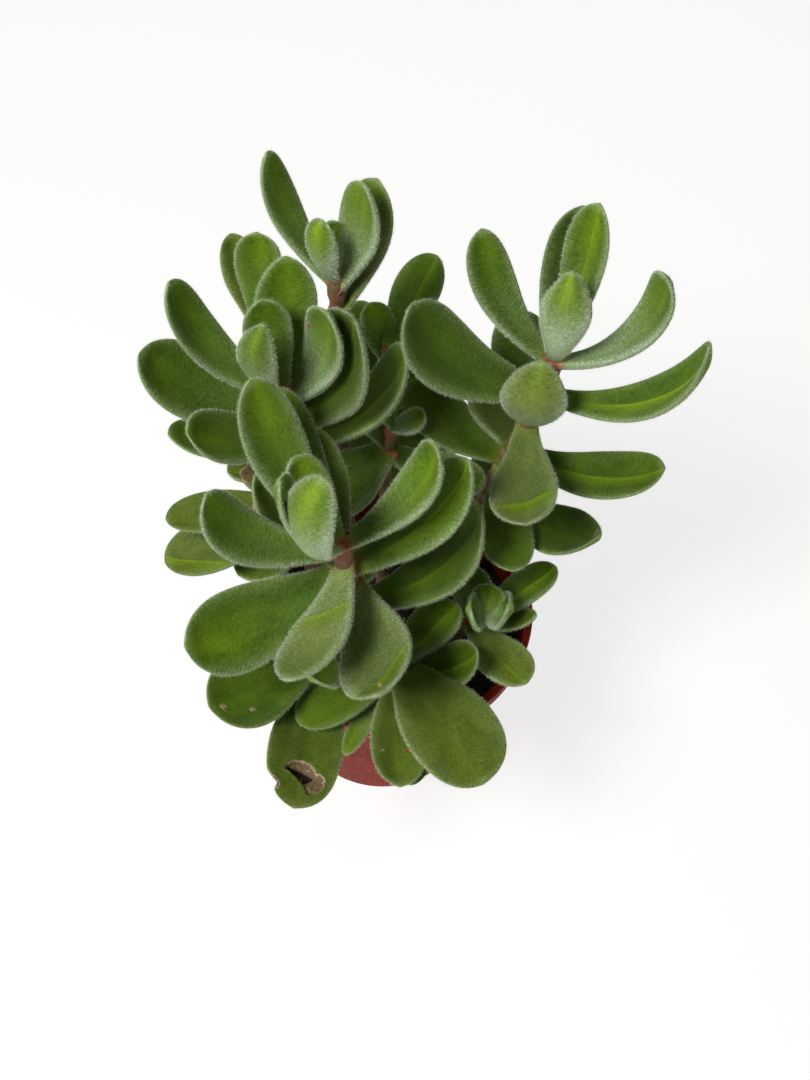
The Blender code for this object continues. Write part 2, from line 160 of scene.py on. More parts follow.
STEMS = {
    "tall_back_stem": Stem(((-13, 18, 46), (-18, 23, 115), (-20.5, 20.5, 181)), 2.5, 1.8, (
        (179, 218, 49, 57, 22, 9, 20), (179, 135, 65, 25, 17, 8),
        (177, 150, 30, 60, 38, 10, 0, 2, 1.3), (176, 30, 58, 40, 32, 13, 22, -10),
        (167, 50, 50, 40, 38, 14, 0, 5), (125, 85, 15, 25, 34, 15), (92, 105, 5, 25, 26, 14),
    )),
    "left_stem": Stem(((-20, 3, 46), (-27, 6, 105), (-32, 7, 156)), 2.5, 1.7, (
        (152, 224, 48, 90, 31, 11, 8, 22, 1.8), (153, 133, 60, 24, 27, 12, -20),
        (150, 94, 44, 42, 38, 15, 10), (150, 170, 15, 68, 45, 12, -15),
        (149, 14, 28, 75, 34, 16, 9, 20, 0.8), (146, 187, 5, 50, 42, 19, -20),
        (141, 230, 8, 46, 36, 15, -23, -11), (139, 18, 34, 55, 43, 23, 28, -12, 0.7),
        (135, 205, 5, 35, 35, 13), (133, 12, 4, 82, 46, 17, -9, 18), (127, 205, -10, 25, 19, 10),
        (108, 195, -2, 0, 38, 13, -5), (106, 150, 5, 10, 22, 12), (106, 206, -26, 26, 42, 18),
        (90, 214, -3, 10, 24, 15, 5, 8),
    )),
    "back_left_stem": Stem(
        ((-22, 15, 46), (-27, 20, 74), (-37, 29, 112), (-42, 31, 153)), 1.9, 1.5, (
        (152, 90, 50, 42, 25, 12), (147, 125, 45, 20, 27, 10), (136, 35, 5, 30, 21, 12),
        (115, 95, 5, 25, 28, 15), (100, 150, 0, 30, 32, 15),
    )),
    "middle_stem": Stem(((-2, 28, 46), (-6, 34, 105), (-7, 36, 141)), 2.0, 1.5, (
        (139, 78, 19, 32, 30, 14, -5, -26, 1.2), (133, 124, 48, 4, 19, 10, -4, 7),
        (117, 50, 10, 30, 28, 14), (117, 165, 10, 30, 24, 14), (104, 350, 5, 45, 32, 15),
        (102, 180, 0, 15, 20, 16), (91, 345, 5, 30, 26, 15), (91, 90, 0, 30, 28, 14),
    )),
    "front_stem": Stem(((-3, -10, 46), (-8, -20, 97), (-13.5, -27, 138)), 2.7, 2.0, (
        (138, 231, 23, 113, 39, 14, 5, 3), (138, 142, 41, 29, 27, 13, -1, 5, 1.3),
        (138, 27, 15, 85, 41, 13, -5, 12, 1.5), (137, 197, 45, 45, 34, 12, -10, -11, 1.4),
        (135, 144, 29, 51, 52, 15, -11), (135, 202, 18, 76, 48, 13, -32, -12, 1.8),
        (131, 126, 22, 41, 46, 12, 3), (129, 272, -26, 34, 36, 16, 25, -42),
        (126, 158, 15, 50, 35, 14), (124, 26, 8, 76, 48, 16, 11, 4),
        (124, 117, 27, 35, 38, 13, 3, 4), (123, 210, -26, 60, 49, 21, -38, 17),
        (115, 305, -23, 52, 36, 22, 38, -30), (102, 20, -15, 104, 52, 20, 0, 0, 0.7),
    )),
    "right_stem": Stem(((14, 12, 46), (24, 18, 105), (31, 17, 140), (33, 10, 172)), 2.7, 2.0, (
        (171, 268, 63, 62, 28, 12, -14), (171, 45, 60, 30, 21, 9),
        (170, 158, 21, 59, 39, 11, -20, -25, 1.3), (170, 352, 12, 108, 42, 13, -15, 57, 1.6),
        (168, 66, 47, 50, 44, 12, -28, 17), (163, 82, 28, 54, 43, 15, 14, 5),
        (154, 184, 11, 67, 48, 18, -38, 0, 1.4), (154, 341, -2, 94, 57, 13, 15, -5),
        (143, 263, 32, 88, 37, 16, 5, -6, 1.3), (142, 107, 21, 22, 28, 16, -5),
        (138, 270, -10, 45, 41, 17, 15), (126, 335, -15, 65, 45, 15, 10, 15),
        (126, 118, -5, 30, 22, 14), (121, 160, -3, 40, 35, 16, -12, -6, 0.8),
        (119, 272, -30, 60, 37, 15, -5, 8, 1.2), (107, 321, -3, 68, 45, 16, 16, -5, 1.4),
        (96, 75, 0, 30, 27, 15), (88, 20, 0, 30, 25, 14),
    )),
    "low_front_stem": Stem(((2, -22, 46), (3, -28, 75), (5, -30, 90)), 2.2, 1.7, (
        (88, 61, -4, 28, 24, 16, -21, -18), (84, 306, 25, -37, 44, 26, -5),
        (81, 355, -17, 88, 29, 13, 11, 12, 0.7), (80, 216, 2, -4, 32, 14),
        (79, 274, 1, 17, 38, 15, -3, 6), (75, 284, 0, 5, 34, 13), (70, 242, 20, -18, 30, 6, 0, 12),
    )),
    "low_left_stem": Stem(((-11, -18, 46), (-14, -25, 75), (-16, -29, 92)), 2.2, 1.7, (
        (89, 216, -7, 38, 40, 21, -22, 14), (89, 258, 10, 30, 16, 15, -25),
        (76, 256, -1, 8, 47, 21, -18, 15),
    )),
    "middle_shoot": Stem(((-3, 11, 46), (-5, 18, 98), (-4.5, 19, 129)), 1.9, 1.4, (
        (128, 5, 20, 16, 11, 9), (128, 150, 55, 30, 10, 6), (118, 224, -14, -6, 26, 23, 12),
        (118, 336, -10, 38, 31, 14, 10, -4), (118, 140, 35, 30, 20, 10),
        (92, 254, -11, 4, 26, 13, 25, 10),
    )),
    "right_shoot": Stem(((18, -4, 46), (22, -8, 72), (26.5, -13, 89)), 1.8, 1.3, (
        (88, 75, 35, 40, 11, 10), (88, 350, 20, 70, 13, 12), (88, 218, 42, 30, 12, 11, -30),
        (84, 38, 5, 19, 28, 12, -12), (79, 301, 6, 8, 27, 15, -3, 15), (79, 357, 6, 43, 21, 8, -12),
        (79, 98, 5, 23, 18, 13, 20),
    )),
}

# How old each stem's leaves are above what their height on it tells, from 0 to 1
STEM_AGE = {
    "low_front_stem": 0.45,
    "low_left_stem": 0.75,
    "middle_shoot": 0.1,
    "right_shoot": 0.15,
    "back_left_stem": 0.3,
    "middle_stem": 0.35,
}

# How young a stem's tip looks, where it isn't 1
TIP_YOUTH = {"tall_back_stem": 0.945}

# Leaves that differ from the rest. Here and below they are named by node height and bearing,
# which no two leaves share. Deepest, deep, pale and palest are painted shade and painted light:
# a deeper green for leaves that lie in shadow, a paler green for well-lit ones. An olive leaf is
# dull, a frosted one is white with bloom from its root to past its middle, and an even one hardly
# shows the painted light along its middle, like the frosted ones.
LIGHT_AND_SHADE_TONES = {"deepest": -1.0, "deep": -0.5, "pale": 0.5, "palest": 1.0}
TRAITS = {
    "deepest": ((125, 85), (139, 18), (126, 118), (142, 107), (163, 82), (92, 254), (118, 336)),
    "deep": (
        (146, 187), (152, 224), (102, 180), (102, 20), (115, 305), (107, 321), (121, 160),
        (126, 335), (138, 270), (154, 184), (170, 158), (79, 98),
    ),
    "pale": (
        (133, 12), (141, 230), (147, 125), (80, 216), (84, 306), (76, 256), (89, 258), (128, 150),
        (79, 357), (88, 75), (88, 218),
    ),
    "palest": ((179, 135), (117, 50), (126, 158), (70, 242), (128, 5)),
    "olive": (
        (167, 50), (90, 214), (106, 206), (108, 195), (127, 205), (147, 125), (115, 305),
        (124, 117), (126, 158), (129, 272), (126, 118), (138, 270), (143, 263), (79, 274),
        (84, 306), (76, 256), (118, 140), (79, 301), (79, 357),
    ),
    "frosted": (
        (176, 30), (179, 135), (149, 14), (152, 224), (138, 231), (143, 263), (170, 352),
        (171, 268), (70, 242), (128, 5), (88, 218), (88, 350),
    ),
    "even": ((167, 50), (138, 27), (107, 321), (84, 306), (79, 357)),
}
FROST = 0.8
OLIVE = 0.6
OLIVE_BY_AGE = 0.25

# How pointed the tips of some leaves are, from 0 to 1
POINTED = {
    (171, 268): 0.9,
    (143, 263): 0.6,
    (107, 321): 0.9,
    (152, 224): 0.8,
    (124, 26): 0.6,
    (168, 66): 0.5,
    (150, 94): 0.4,
    (177, 150): 0.3,
    (118, 224): 0.0,
}

# Leaves with a painted highlight along a fold across them, which runs from one share of length and
# share across to another, with its brightness and with the reach of the painted light beyond it in
# millimetres
FOLDED = {
    (138, 270): (0.77, -0.68, 0.67, 0.73, 0.95, 14.0),
    (115, 305): (0.87, -0.34, 0.71, 0.99, 0.80, 8.0),
    (129, 272): (0.50, -0.82, 0.30, 0.71, 0.50, 7.0),
    (106, 206): (0.97, -0.31, 0.64, 0.75, 0.85, 7.0),
}

# Marks on leaves: share of length, share across, radius in millimetres and depth, which is below
# zero for a red spot
MARKS = {
    (76, 256): ((0.812, 0.10, 6.2, 1.0), (0.885, -0.92, 2.6, 0.42)),
    (89, 216): ((0.72, 0.45, 1.4, 0.40), (0.90, 0.15, 1.5, 0.40)),
    (127, 205): ((0.62, 0.5, 5.2, 0.62), (0.50, 0.7, 1.5, 1.0)),
    (106, 150): ((0.6, 0.0, 5.0, 0.6),),
    (108, 195): ((0.30, 0.2, 4.0, 0.55),),
    (149, 14): ((0.68, 0.80, 1.0, -0.9),),
    (115, 305): ((0.90, -0.1, 1.5, 0.38),),
    (138, 27): ((0.09, 0.60, 0.7, 1.0),),
    (79, 274): ((0.70, -0.60, 0.9, 0.45), (0.71, 0.35, 0.8, -0.8)),
    (107, 321): ((0.94, 0.2, 1.5, 0.5),),
}

# A mark with more than this radius is a torn hollow, and its leaf's mesh is so many times finer.
# Its outline is given as turns and shares of its reach. The tables after it run across the leaf
# in millimetres: the edge of the flap, and the middle and half height of the dark part, whose
# near-black is dark torn tissue with painted shade of the hollow.
TORN_RADIUS = 6.0
TORN_FINENESS = 3.0
TORN_TURN = (-3.14, -2.90, -2.10, -1.38, -0.68, -0.13, 0.49, 1.16, 2.20, 3.14)
TORN_REACH = (1.02, 0.95, 0.92, 0.84, 0.69, 0.98, 0.99, 0.83, 0.90, 1.02)
FLAP_EDGE = (-6.5, -5.75, -3.3, -1.2, 0.4, 1.8, 2.3), (-1.0, -1.0, -0.6, 0.4, 1.8, 4.7, 9.0)
DARK_MIDDLE = (-4.1, -1.4, 0.3, 1.8), (-2.2, -1.9, -1.1, -1.0)
DARK_HALF = (-5.0, -4.1, -1.4, 0.3, 1.8, 2.6, 3.0), (0.01, 0.7, 1.3, 1.9, 1.5, 0.8, 0.01)

# Colours, in the shader's linear red, green and blue
DARK_GREEN, GREEN = (0.044, 0.112, 0.004), (0.086, 0.176, 0.006)
DARK_BELOW, BELOW = (0.07, 0.14, 0.012), (0.115, 0.2, 0.018)
DARK_OLIVE, DULL_OLIVE = (0.1, 0.124, 0.022), (0.16, 0.184, 0.038)
# Painted light and painted shade: a paler green for lit leaves, and a deeper green for shaded ones
PAINTED_LIGHT_GREEN, PAINTED_SHADE_GREEN = (0.15, 0.25, 0.014), (0.016, 0.036, 0.003)
# Painted highlight: yellow-green light on the middle furrow, the tip and the underside
PAINTED_GLOW = (0.33, 0.53, 0.01)
ROOT_YELLOW, ROOT_RED = (0.3, 0.35, 0.045), (0.48, 0.08, 0.085)
NAP_SHADE, NAP_LIGHT = (0.022, 0.058, 0.003), (0.23, 0.38, 0.045)
THIN_VEIL, THICK_VEIL = (0.43, 0.55, 0.22), (0.47, 0.58, 0.4)
FLECK, PIT, RED_SPOT = (0.33, 0.3, 0.16), (0.045, 0.06, 0.012), (0.33, 0.065, 0.022)
DARK_DRY, DRY = (0.33, 0.25, 0.15), (0.5, 0.41, 0.28)
DARK_WORN, WORN = (0.115, 0.075, 0.028), (0.235, 0.19, 0.085)
# The second here is the near-black inside a torn hollow: dark torn tissue with painted shade
WORN_EDGE, DARK_TISSUE_AND_SHADE = (0.19, 0.135, 0.08), (0.022, 0.009, 0.013)
HAIR_ON_FACE, DULL_HAIR, HAIR = (0.2, 0.31, 0.08), (0.74, 0.84, 0.58), (0.9, 0.95, 0.8)
DARK_BARK, BARK = (0.095, 0.055, 0.018), (0.17, 0.1, 0.035)
DARK_SKIN, SKIN = (0.125, 0.066, 0.026), (0.165, 0.12, 0.04)
YOUNG_RED, COLLAR, RING = (0.4, 0.066, 0.068), (0.3, 0.215, 0.115), (0.27, 0.085, 0.028)
STREAK_LIGHT, STREAK_DARK = (0.3, 0.27, 0.13), (0.06, 0.026, 0.018)
DARK_BRICK, BRICK, FOOT_BRICK = (0.215, 0.018, 0.009), (0.3, 0.03, 0.016), (0.2, 0.04, 0.026)
# The second here marks rubbed patches on the pot, lighter, with a painted sheen in them
SPLASH, RUB_AND_SHEEN = (0.42, 0.3, 0.22), (0.42, 0.11, 0.07)
WET_SOIL, SOIL, DRY_SOIL = (0.007, 0.005, 0.004), (0.04, 0.024, 0.015), (0.095, 0.062, 0.038)
DARK_GRIT, PALE_GRIT = (0.15, 0.12, 0.085), (0.42, 0.37, 0.3)
FLOOR_GREY, FLOOR_PALE = (0.32, 0.32, 0.32), (0.34, 0.34, 0.34)


# Small helpers

def add_object(data, finish=None):
    """An object in the scene for a mesh, light or camera, with a mesh's finish."""
    made = bpy.data.objects.new(data.name, data)
    bpy.context.scene.collection.objects.link(made)
    if finish:
        data.materials.append(finish)
    return made


def plain_mesh(name, verts, faces):
    """A smooth mesh from corners in millimetres and faces."""
    mesh = bpy.data.meshes.new(name)
    mesh.from_pydata((verts * MM).tolist(), [], faces)
    mesh.update()
    mesh.shade_smooth()
    return mesh


def worked_out(holder):
    """The plain mesh that an object's modifiers make."""
    graph = bpy.context.evaluated_depsgraph_get()
    return bpy.data.meshes.new_from_object(holder.evaluated_get(graph))


def dress(piece, node):
    """Fixes a piece to the part, in the place of one of its solids, which it hides."""
    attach(piece, "root")
    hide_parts(node)


def rise(low, high, value):
    """0 below low, 1 above high, and a smooth rise between them."""
    t = np.clip((value - low) / (high - low), 0.0, 1.0)
    return t * t * (3.0 - 2.0 * t)


def fall(low, high, value):
    """1 below low, 0 above high, and a smooth fall between them."""
    return 1.0 - rise(low, high, value)


def hump(value, middle, reach):
    """1 at the middle, and a soft fall to 0 on both sides."""
    return np.exp(-((value - middle) / reach) ** 2)


def smooth_route(route, spacing):
    """A smooth curve through a stem's points, read off at even distances, in millimetres."""
    points = [np.array(p, float) for p in route]
    points = [2 * points[0] - points[1], *points, 2 * points[-1] - points[-2]]
    curve = []
    for a, b, c, d in zip(points, points[1:], points[2:], points[3:]):
        square, cube = 2 * a - 5 * b + 4 * c - d, 3 * b - a - 3 * c + d
        for t in np.linspace(0.0, 1.0, 60, endpoint=False):
            curve.append(0.5 * (2 * b + (c - a) * t + square * t * t + cube * t ** 3))
    curve.append(points[-2])
    curve = np.array(curve)
    run = np.concatenate([[0.0], np.cumsum(np.linalg.norm(np.diff(curve, axis=0), axis=1))])
    wanted = np.linspace(0.0, run[-1], max(4, int(run[-1] / spacing)))
    return np.stack([np.interp(wanted, run, curve[:, k]) for k in range(3)], axis=1)


def unit(vectors):
    """The same directions at length one."""
    return vectors / np.maximum(np.linalg.norm(vectors, axis=-1, keepdims=True), 1e-9)


def tube_faces(rings, sides):
    """Quads between a tube's rings."""
    faces = []
    for i in range(rings - 1):
        a, b = i * sides, (i + 1) * sides
        for j in range(sides):
            k = (j + 1) % sides
            faces.append((a + j, a + k, b + k, b + j))
    return faces


def closed_tube(rings, sides):
    """A tube's quads, and fans to one vertex beyond its last ring and one before its first."""
    last, crown, foot = (rings - 1) * sides, rings * sides, rings * sides + 1
    faces = tube_faces(rings, sides)
    faces += [(last + j, last + (j + 1) % sides, crown) for j in range(sides)]
    faces += [(foot, (j + 1) % sides, j) for j in range(sides)]
    return faces


def with_ends(shape, readings):
    """Readings on a tube's rings, each followed by what is read at its two end vertices."""
    return {
        name: np.concatenate([np.broadcast_to(values, shape).ravel(), ends])
        for name, (values, *ends) in readings.items()
    }


# Node trees

class Tree:
    """A short way to write a node tree."""

    def __init__(self, tree):
        self.tree = tree

    def add(self, kind, inputs=(), **settings):
        """A node with its settings, and its inputs from values or from other nodes' outputs."""
        node = self.tree.nodes.new(kind)
        for key, value in settings.items():
            setattr(node, key, value)
        for key, value in dict(inputs).items():
            self.feed(node.inputs[key], value)
        return node

    def feed(self, socket, value):
        """Links an output to a socket, or sets the socket's value."""
        if isinstance(value, bpy.types.NodeSocket):
            self.tree.links.new(value, socket)
        else:
            socket.default_value = value

    def math(self, operation, a, b):
        """One sum on two numbers."""
        return self.add("ShaderNodeMath", {0: a, 1: b}, operation=operation).outputs[0]

    def plus(self, a, b):
        """Two numbers added."""
        return self.math("ADD", a, b)

    def times(self, a, b):
        """Two numbers multiplied."""
        return self.math("MULTIPLY", a, b)

    def vectors(self, operation, a, b):
        """One sum on two vectors, or on a vector and its scale."""
        second = "Scale" if operation == "SCALE" else 1
        return self.add("ShaderNodeVectorMath", {0: a, second: b}, operation=operation).outputs[0]


class Finish(Tree):
    """A material's tree, with a short way to write its patterns and layers."""

    def __init__(self, name):
        self.made = bpy.data.materials.new(name)
        self.made.use_nodes = True
        super().__init__(self.made.node_tree)

    def where(self):
        """The place on the object."""
        return self.add("ShaderNodeTexCoord").outputs["Object"]

    def read(self, name, output="Fac"):
        """A surface reading: its number, or its vector."""
        return self.add("ShaderNodeAttribute", attribute_name=name).outputs[output]

    def ramp(self, value, low, high, out_low=0.0, out_high=1.0):
        """A smooth change from one number to another as a value goes from low to high."""
        given = dict(enumerate((value, low, high, out_low, out_high)))
        return self.add("ShaderNodeMapRange", given, interpolation_type="SMOOTHSTEP").outputs[0]

    def mix(self, share, a, b):
        """Two colours mixed by a share."""
        a, b = ((*colour, 1.0) if isinstance(colour, tuple) else colour for colour in (a, b))
        return self.add("ShaderNodeMix", {0: share, 6: a, 7: b}, data_type="RGBA").outputs[2]

    def blend(self, value, low, high, a, b):
        """A smooth change from one colour to another as a value goes from low to high."""
        return self.mix(self.ramp(value, low, high), a, b)

    def coats(self, colour, *layers):
        """A colour under layers, each with its share and its colour."""
        for share, coat in layers:
            colour = self.mix(share, colour, coat)
        return colour

    def noise(self, vector, scale, detail=3.0, rough=0.55):
        """Cloudy noise read at a place."""
        given = {"Vector": vector, "Scale": scale, "Detail": detail, "Roughness": rough}
        return self.add("ShaderNodeTexNoise", given).outputs["Fac"]

    def cells(self, vector, scale):
        """Distance to the nearest of scattered points."""
        given = {"Vector": vector, "Scale": scale}
        return self.add("ShaderNodeTexVoronoi", given).outputs["Distance"]

    def stretch(self, vector, scale):
        """A place with its three directions scaled."""
        return self.vectors("MULTIPLY", vector, scale)

    def done(self, colour, roughness, relief=None, **settings):
        """The material, from its colour, its roughness, its relief and the shader's settings."""
        shader = self.tree.nodes["Principled BSDF"]
        self.feed(shader.inputs["Base Color"], colour)
        self.feed(shader.inputs["Roughness"], roughness)
        for key, value in settings.items():
            shader.inputs[key.replace("_", " ")].default_value = value
        if relief:
            given = dict(zip(("Height", "Strength", "Distance"), relief))
            node = self.add("ShaderNodeBump", given)
            self.feed(shader.inputs["Normal"], node.outputs["Normal"])
        return self.made


def leaf_finish():
    """Velvet leaf: deep green under a pale veil of hair, with painted yellow-green highlights and
    painted light and shade for each leaf.
    """
    t = Finish("velvet_leaf")
    place, comb = t.read("place", "Vector"), t.read("comb", "Vector")
    age, tone, mark, lit = t.read("age"), t.read("tone"), t.read("mark"), t.read("lit")
    nap = t.noise(t.stretch(comb, (3.5, 0.95, 1.0)), 1.0, 2.0, 0.6)
    tuft = t.noise(t.stretch(comb, (1.5, 0.5, 1.0)), 1.0, 2.0, 0.5)
    cloud = t.noise(t.stretch(place, (0.20, 0.11, 1.0)), 1.0, 3.0, 0.5)
    grain = t.noise(t.stretch(place, (1.3, 1.1, 1.0)), 1.0, 2.0, 0.5)
    blotch = t.noise(t.stretch(place, (1.1, 0.8, 1.0)), 1.0, 4.0, 0.6)

    # Painted highlight along the middle furrow: bright on the lit side, cut off sharply on the
    # other
    spread = t.plus(t.ramp(lit, 0.03, 0.80, 0.66, 0.0), t.ramp(lit, 0.03, 0.18, 0.34, 0.0))
    painted_crease = t.times(t.times(t.read("painted_crease"), spread), t.ramp(lit, -0.04, 0.03))
    painted_glow = t.math("MINIMUM", t.plus(t.read("painted_glow"), painted_crease), 1.0)
    from_root = t.times(t.read("along"), t.plus(age, 1.0))
    red = t.times(t.ramp(from_root, 0.04, 0.13, 0.95, 0.0), t.ramp(age, 0.0, 0.6, 1.0, 0.25))
    strand = t.times(t.ramp(nap, 0.44, 0.64), t.ramp(tuft, 0.25, 0.7, 0.6, 1.0))
    veil = t.plus(
        t.times(t.read("bloom"), t.plus(0.50, t.times(strand, 0.50))),
        t.times(strand, t.ramp(age, 0.0, 0.9, 0.05, 0.0)),
    )
    fleck = t.times(t.ramp(t.cells(place, 0.42), 0.05, 0.13, 1.0, 0.0), t.ramp(age, 0.3, 0.9))
    fleck = t.times(fleck, t.ramp(grain, 0.52, 0.6))
    pit = t.ramp(t.cells(t.stretch(place, (1, 1, 3)), 0.5), 0.03, 0.08, 1.0, 0.0)

    ragged = t.plus(mark, t.times(t.math("SUBTRACT", grain, 0.5), 0.24))
    dry = t.blend(blotch, 0.38, 0.62, DARK_DRY, DRY)
    worn = t.blend(blotch, 0.35, 0.65, DARK_WORN, WORN)
    worn = t.blend(ragged, 0.50, 0.62, WORN_EDGE, worn)
    scab = t.blend(ragged, 0.38, 0.44, dry, worn)
    # The near-black middle of a torn hollow: dark torn tissue with painted shade of the hollow
    corky = t.blend(ragged, 0.70, 0.92, scab, DARK_TISSUE_AND_SHADE)

    below = t.blend(cloud, 0.3, 0.7, DARK_BELOW, BELOW)
    above = t.blend(cloud, 0.3, 0.7, DARK_GREEN, GREEN)
    # Painted light and shade: lit leaves turn paler green here, and shaded leaves deeper green
    # below
    above = t.mix(t.ramp(tone, 0.0, 1.0, 0.0, 0.6), above, PAINTED_LIGHT_GREEN)
    colour = t.coats(
        t.mix(t.read("upper"), below, above),
        (t.read("olive"), t.blend(cloud, 0.35, 0.65, DARK_OLIVE, DULL_OLIVE)),
        # painted yellow-green highlights on the furrow, the tip and the underside
        (t.times(painted_glow, t.ramp(nap, 0.30, 0.66, 0.72, 1.0)), PAINTED_GLOW),
        (t.ramp(t.read("along"), 0.02, 0.20, 0.75, 0.0), ROOT_YELLOW),
        (red, ROOT_RED),
        (t.ramp(nap, 0.32, 0.50, 0.40, 0.0), NAP_SHADE),
        (t.times(strand, 0.11), NAP_LIGHT),
        # painted shade: deeper green for leaves that lie in shadow
        (t.ramp(tone, 0.0, -1.0, 0.0, 0.62), PAINTED_SHADE_GREEN),
        (t.math("MINIMUM", veil, 0.92), t.blend(veil, 0.15, 0.60, THIN_VEIL, THICK_VEIL)),
        (t.times(fleck, 0.45), FLECK),
        (t.times(pit, 0.45), PIT),
        (t.ramp(ragged, 0.22, 0.34), corky),
        (t.ramp(mark, -0.2, -0.6), RED_SPOT),
    )
    scabby = t.times(t.ramp(ragged, 0.2, 0.7), t.times(grain, 2.5))
    rough = t.plus(t.plus(t.times(nap, 0.7), t.times(grain, 0.5)), scabby)
    return t.done(
        colour, t.ramp(nap, 0.3, 0.7, 0.55, 0.75), (rough, 0.55, 0.00022),
        Specular_IOR_Level=0.10, Subsurface_Weight=0.12, Subsurface_Radius=(0.9, 1.4, 0.35),
        Subsurface_Scale=0.0010, Sheen_Weight=0.05, Sheen_Roughness=0.40,
        Sheen_Tint=(0.84, 0.93, 0.80, 1),
    )


def hair_finish():
    """Short leaf hair: pale on the margins, and greener on the blade."""
    t = Finish("leaf_hair")
    pale = t.mix(t.noise(t.where(), 90.0), DULL_HAIR, HAIR)
    tint = t.blend(t.read("fuzz"), 0.20, 0.75, HAIR_ON_FACE, pale)
    return t.done(tint, 0.55, Sheen_Weight=0.2)


def stem_finish():
    """Stem skin: corky lower down, brown higher up, and red at the youngest nodes."""
    t = Finish("stem_skin")
    place, young = t.read("place", "Vector"), t.read("young")
    streak = t.noise(t.stretch(place, (1.1, 0.18, 1.0)), 1.0, 4.0, 0.6)
    patch = t.noise(t.stretch(place, (0.22, 0.12, 1.0)), 1.0, 3.0, 0.55)
    bark = t.blend(patch, 0.3, 0.7, DARK_BARK, BARK)
    skin = t.blend(patch, 0.3, 0.7, DARK_SKIN, SKIN)
    colour = t.coats(
        t.blend(young, 0.25, 0.75, bark, skin),
        (t.times(t.ramp(young, 0.92, 0.98), 0.8), YOUNG_RED),
        (t.times(t.read("collar"), t.ramp(young, 0.5, 0.95, 0.55, 0.15)), COLLAR),
        (t.times(t.read("ring"), 0.75), RING),
        (t.ramp(streak, 0.56, 0.74, 0.0, 0.55), STREAK_LIGHT),
        (t.ramp(streak, 0.26, 0.42, 0.6, 0.0), STREAK_DARK),
    )
    return t.done(
        colour, t.ramp(streak, 0.3, 0.7, 0.6, 0.85), (streak, 0.6, 0.0005),
        Subsurface_Weight=0.05, Subsurface_Scale=0.001, Sheen_Weight=0.15, Sheen_Roughness=0.5,
    )


def pot_finish():
    """Thin brick-red moulded plastic, a little dusty, with rubbing marks that carry a painted
    sheen, and dried splashes.
    """
    t = Finish("brick_red_plastic")
    where = t.where()
    height = t.add("ShaderNodeSeparateXYZ", {"Vector": where}).outputs["Z"]
    cloud = t.noise(where, 28.0, 4.0)
    rub = t.noise(t.stretch(where, (1.0, 1.0, 0.12)), 900.0, 3.0, 0.6)
    peel = t.noise(where, 700.0, 2.0)
    splash = t.cells(t.stretch(where, (1.0, 1.0, 0.8)), 210.0)
    dust = t.times(t.ramp(splash, 0.10, 0.22, 1.0, 0.0), t.ramp(cloud, 0.50, 0.66))
    colour = t.coats(
        t.blend(cloud, 0.35, 0.68, DARK_BRICK, BRICK),
        (t.ramp(height, 0.0, 0.03, 0.25, 0.0), FOOT_BRICK),
        (t.times(dust, 0.35), SPLASH),
        # Rubbing marks, lighter, also carrying a painted sheen
        (t.ramp(rub, 0.58, 0.78, 0.0, 0.22), RUB_AND_SHEEN),
    )
    rough = t.plus(peel, t.times(rub, 0.6))
    return t.done(
        colour, t.ramp(rub, 0.3, 0.7, 0.42, 0.58), (rough, 0.12, 0.0002),
        Specular_IOR_Level=0.03, Subsurface_Weight=0.05, Subsurface_Radius=(1.0, 0.25, 0.15),
        Subsurface_Scale=0.001,
    )


def soil_finish():
    """Damp peaty soil, near black, with browner dry crumbs."""
    t = Finish("potting_soil")
    where = t.where()
    coarse = t.noise(where, 260.0, 5.0, 0.65)
    fine = t.noise(where, 1500.0, 3.0, 0.6)
    colour = t.blend(coarse, 0.3, 0.72, WET_SOIL, SOIL)
    colour = t.mix(t.ramp(fine, 0.60, 0.78, 0.0, 0.6), colour, DRY_SOIL)
    rough = t.plus(coarse, t.times(fine, 0.5))
    roughness = t.ramp(coarse, 0.3, 0.7, 0.75, 0.95)
    return t.done(colour, roughness, (rough, 0.9, 0.0009), Specular_IOR_Level=0.25)


def grit_finish():
    """Pale grit and pumice in the soil."""
    t = Finish("pale_grit")
    cloud = t.noise(t.where(), 500.0, 4.0)
    return t.done(t.blend(cloud, 0.35, 0.7, DARK_GRIT, PALE_GRIT), 0.9, (cloud, 0.6, 0.0004))


def floor_finish():
    """Plain pale studio floor."""
    t = Finish("studio_floor")
    tint = t.mix(t.noise(t.where(), 4.0), FLOOR_GREY, FLOOR_PALE)
    return t.done(
        tint, 0.85, Emission_Color=(1.0, 1.0, 1.0, 1), Emission_Strength=0.76,
        Specular_IOR_Level=0.1,
    )


# Leaves

def half_width(share, width, point):
    """Half of a leaf's width along it: a neck, a broad blade and a blunt or pointed tip."""
    near = np.minimum(share / WIDEST_AT, 1.0)
    grow = NECK_SHARE + (1.0 - NECK_SHARE) * near * near * (3.0 - 2.0 * near)
    past = np.clip((share - WIDEST_AT) / (1.0 - WIDEST_AT), 0.0, 1.0)
    return 0.5 * width * grow * (1.0 - past ** (2.5 - 0.9 * point)) ** (0.47 + 0.28 * point)


def thickness(share, leaf):
    """A leaf's thickness at a share of its length: fleshy, and thin only at the tip."""
    full = 2.2 + 0.09 * leaf.width if leaf.width > 9 else 0.32 * leaf.width
    swell = 0.75 + 0.25 * np.sin(np.pi * np.minimum(share / 0.8, 1.0))
    thin = 1.0 - 0.8 * np.maximum(0.0, (share - 0.75) / 0.25) ** 3
    return full * swell * thin


